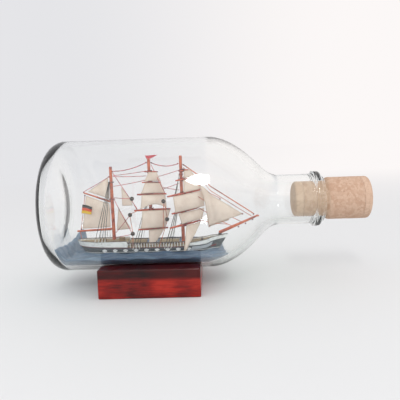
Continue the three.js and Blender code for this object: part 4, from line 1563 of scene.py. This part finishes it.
def buildShrouds():
    for mast, node, loop, feet, levelAt in shroudTable:
        x = mastPlaces[mast]["x"]
        ring = 1.5
        lines = [[aboard(x + ring * math.cos(t), ring * math.sin(t), loop + 0.15 * math.sin(3 * t)) for t in
                  (2 * math.pi * i / 24 for i in range(25))]]
        farLines, lanyards = [], []
        for side in (-1, 1):
            for footX in feet:
                reach = side * (breadthAt(footX) + 0.7)
                lean = math.atan2(reach, footX - x)
                top = (x + ring * math.cos(lean), ring * math.sin(lean), loop)
                foot = (footX, reach, levelAt(footX) - 1.2)
                (lines if side < 0 else farLines).append(hangingLine(top, foot, 0.1))
                share = 0.9
                upper = [mix(a, b, share) for a, b in zip(top, foot)]
                lanyards.append(hangingLine(upper, foot, 0.0, 4))
        buildThreads(mast + "ShroudLines", lines, "blackThread", threads["shroud"], node)
        buildThreads(mast + "FarShroudLines", farLines, "whiteThread", threads["shroud"])
        buildThreads(mast + "ShroudLanyards", lanyards, "whiteThread", threads["lanyard"])


fineLines = {  # lines by colour, each from one (x, y, height above the water) to another
    "redThread": [
        ((-22.1, 0, 44.2), (-3, 0, 46.2)), ((-22.1, 0, 43.6), (-3, 0, 43.4)),
        ((-22.1, 0, 38), (-2.6, 0, 41.2)),
        ((-22.1, 0, 31.4), (-10.4, -8.2, 31.4)), ((-22.1, 0, 45.7), (-8.1, -6, 25.4)),
        ((-22.1, 0, 30.2), (-11.2, -8, 11.6)),
        ((-22.1, -0.2, 10.9), (-11.8, -8.6, 22.4)), ((-22.2, -0.2, 8.2), (-10.9, -8.2, 11.4)),
        ((0, 0, 49.8), (8.2, -6, 33.2)), ((0, 0, 33.8), (15.6, 0, 38.6)), ((0, 0, 42), (15.6, 0, 46)),
        ((-39.4, 0, 35.4), (-24.3, 0, 43.6)), ((0, 0, 38), (15.6, 0, 34.7)),
    ],
    "blackThread": [
        ((-2.4, -0.4, 43.4), (-5.4, -2.2, 29.9)), ((-2.4, 0.4, 43.4), (-6.4, 2.2, 29.9)),
        ((15.8, -0.4, 43.2), (13.0, -2.2, 29.7)), ((15.8, 0.4, 43.2), (12.2, 2.2, 29.7)),
    ],
    "whiteThread": [
        ((-2.4, -0.8, 43.0), (-4.6, -2.2, 29.9)), ((-2.4, 0.8, 43.0), (-5.9, 2.4, 29.9)),
        ((15.8, -0.8, 42.8), (13.7, -2.2, 29.7)), ((15.8, 0.8, 42.8), (12.6, 2.4, 29.7)),
    ],
    "orangeThread": [
        ((18.2, 0.3, 47.5), (56.8, 0.2, 18.3)), ((18.1, 0.2, 42.6), (40.3, 0.2, 29.4)),
        ((18.2, -0.4, 36), (52.4, -0.4, 14.6)),
        ((18.2, 0.2, 29), (46.4, 0.2, 12.8)), ((-42.9, 0, 12), (-42.3, 0, 7.6)),
        ((27.4, -0.5, 16.7), (43.9, -0.5, 14)),
        ((-10.4, -8.6, 30.3), (-7.8, -7.8, 24.8)), ((-7.8, -7.8, 24.4), (-11.5, -9, 23.1)),
        ((-11.8, -9, 21.3), (-10.9, -8.5, 12.7)), ((-10.9, -8.4, 10.5), (-11.4, -6.9, 3.2)),
        ((7.2, -9.6, 28.5), (6.4, -8.6, 14)), ((8.8, -9, 18.3), (3.4, -6.9, 3.2)),
        ((8.8, -9, 20.5), (7.8, -9.6, 28.6)),
    ],
}


def buildStays():
    run = 1.5
    buildThreads("mizzenMainStayLine", [hangingLine((-23.3 + run, 0, 46.6), (-1.3 - run, 0, 51), 1.2)],
                 "redThread", threads["stay"], "mizzen_main_stay")
    buildThreads("mainForeStayLine", [hangingLine((-1.3 + run, 0, 50.8), (16.9 - run, 0, 49.8), 1.6)],
                 "redThread", threads["stay"], "main_fore_stay")
    buildThreads("flagHalyardLine", [hangingLine((-38.9, 0, 33.2), (-42.2, 0, 13.6), 0.1)], "orangeThread",
                 threads["fine"], "flag_halyard")
    buildThreads("headStayLine", [hangingLine((16.9 + run, 0, 49.2), (58.2, 0, 19.6), 0.1)], "orangeThread",
                 threads["stay"] * 1.25, "head_stay")
    for look, lines in fineLines.items():
        buildThreads(look.replace("Thread", "BraceLines"), [hangingLine(a, b) for a, b in lines], look,
                     threads["fine"])


# Each yard is tied to its mast by a crossed turn of thread.
def buildLashings():
    lines = []
    for mast, yards in yardTable.items():
        for label, height, radius in yards:
            turnOf = yardFrame(mast, height)
            back, fat = rigRoom["standoff"], radius + 0.28
            for flip in (-1, 1):
                loop = [
                    (0, back + 1.3, 0), (1.28 * flip, back, 0.1), (0.7 * flip, 1.0, fat * 0.9),
                    (0.35 * flip, 0, fat),
                    (0, -fat, 0), (-0.35 * flip, 0, -fat), (-0.7 * flip, 1.0, -fat * 0.9),
                    (-1.28 * flip, back, -0.1), (0, back + 1.3, 0),
                ]
                lines.append(throughPoints([turnOf @ Vector(p) for p in loop]))
    buildThreads("yardLashings", lines, "lashThread", threads["lashing"])


buildShrouds()
buildStays()
buildLashings()
buildStayedSails()
print("sails and rigging built")

# Beads, knots, flag and pennant.
beadShape = {"hole": 0.34, "sides": 28}


def buildBeads():
    for i in range(1, 6):
        low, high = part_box(f"bead_{i}")
        centre, radius = (low + high) / 2, (high.z - low.z) / 2 / mm
        hole = beadShape["hole"]
        start = math.asin(hole / radius)
        ball = [(-radius * math.cos(a),
                 radius * math.sin(a)) for a in (mix(start, math.pi - start, k / 18) for k in range(19))]
        profile = ball + [(mix(ball[-1][0], ball[0][0], k / 4), hole) for k in range(1, 5)]
        lean = Vector((0.5, -0.3 + 0.12 * i, 0.8))
        points, faces = turnedShape(centre, lean, [(a * mm, r * mm) for a, r in profile], beadShape["sides"])
        facingOut(makePiece(f"blockBead{i}", points, faces, looks["bead"], instead=f"bead_{i}"))


def buildFlag():
    corners = [(-41.2, 23.0), (-40.3, 28.1), (-34.8, 26.7), (-35.4, 22.3)]
    across, along = 34, 26
    marks, edges = [], []

    def place(u, v):
        hoist = [mix(corners[0][k], corners[1][k], v) for k in (0, 1)]
        fly = [mix(corners[3][k], corners[2][k], v) for k in (0, 1)]
        marks.append((u, v))
        edges.append(min(u, 1 - u, v, 1 - v) * 5.2)
        wave = 0.4 * math.sin(u * math.pi * 1.6) + 0.12 * math.sin(u * 9 + v * 3) * u
        return aboard(mix(hoist[0], fly[0], u), -1.175 + wave,
                      mix(hoist[1], fly[1], u) + 0.1 * math.sin(u * 5))

    points, faces = gridSheet(place, across, along)
    piece = makePiece("stripedFlagCloth", points, faces, looks["flag"], instead="flag")
    layer = piece.data.uv_layers.new(name="cloth")
    for corner in piece.data.loops:
        layer.data[corner.index].uv = marks[corner.vertex_index]
    thick = piece.modifiers.new("thickness", "SOLIDIFY")
    thick.thickness = 0.18 * mm
    thick.offset = 0
    settle(piece)


def buildPennant():
    low, high = (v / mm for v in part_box("pennant"))
    foot = (low.x + 0.7, low.x + 3.1)

    def place(u, v):
        left, right = mix(foot[0], low.x, v), mix(foot[1], high.x, v)
        x = mix(left, right, u)
        return Vector((x, 0.35 * math.sin(u * 5) * v, mix(low.z, high.z, v) - 0.1 * math.sin(u * 6) * v)) * mm

    points, faces = gridSheet(place, 26, 8)
    piece = makePiece("mastheadPennant", points, faces, looks["pennant"], instead="pennant")
    thick = piece.modifiers.new("thickness", "SOLIDIFY")
    thick.thickness = 0.22 * mm
    thick.offset = 0
    settle(piece)


knots = {"size": 0.42, "places": [
    (50, 0, 12.2), (53.8, 0, 14), (57.6, 0, 16.2), (-22.2, 0, 46.4), (-2.7, 0, 51), (0.2, 0, 50.8),
    (15.4, 0, 49.8),
    (18.4, 0, 49.1), (58, 0, 19.4), (-38.9, 0, 33.2), (-42.2, 0, 13.6), (-39.4, 0, 35), (-24.4, 0, 43.5),
    (40.4, 0, 28.8),
    (-42.6, 0, 12.3), (-24.4, 0, 29.6), (-24.4, 0, 13.3), (27.6, -0.5, 37.3), (52, -0.5, 19.9),
    (33.8, -0.5, 13.4),
]}


def buildKnots():
    lump = bpy.data.meshes.new("knotLump")
    work = bmesh.new()
    bmesh.ops.create_icosphere(work, subdivisions=3, radius=knots["size"] * mm)
    for vertex in work.verts:
        vertex.co *= 1 + noise.noise(vertex.co / (0.3 * mm)) * 0.35
    work.to_mesh(lump)
    work.free()
    setAtPoints("threadKnots", lump, [aboard(*p) for p in knots["places"]], None, "lashThread",
                1.0)


buildBeads()
buildFlag()
buildPennant()
buildKnots()
print("beads, flag, pennant and knots built")
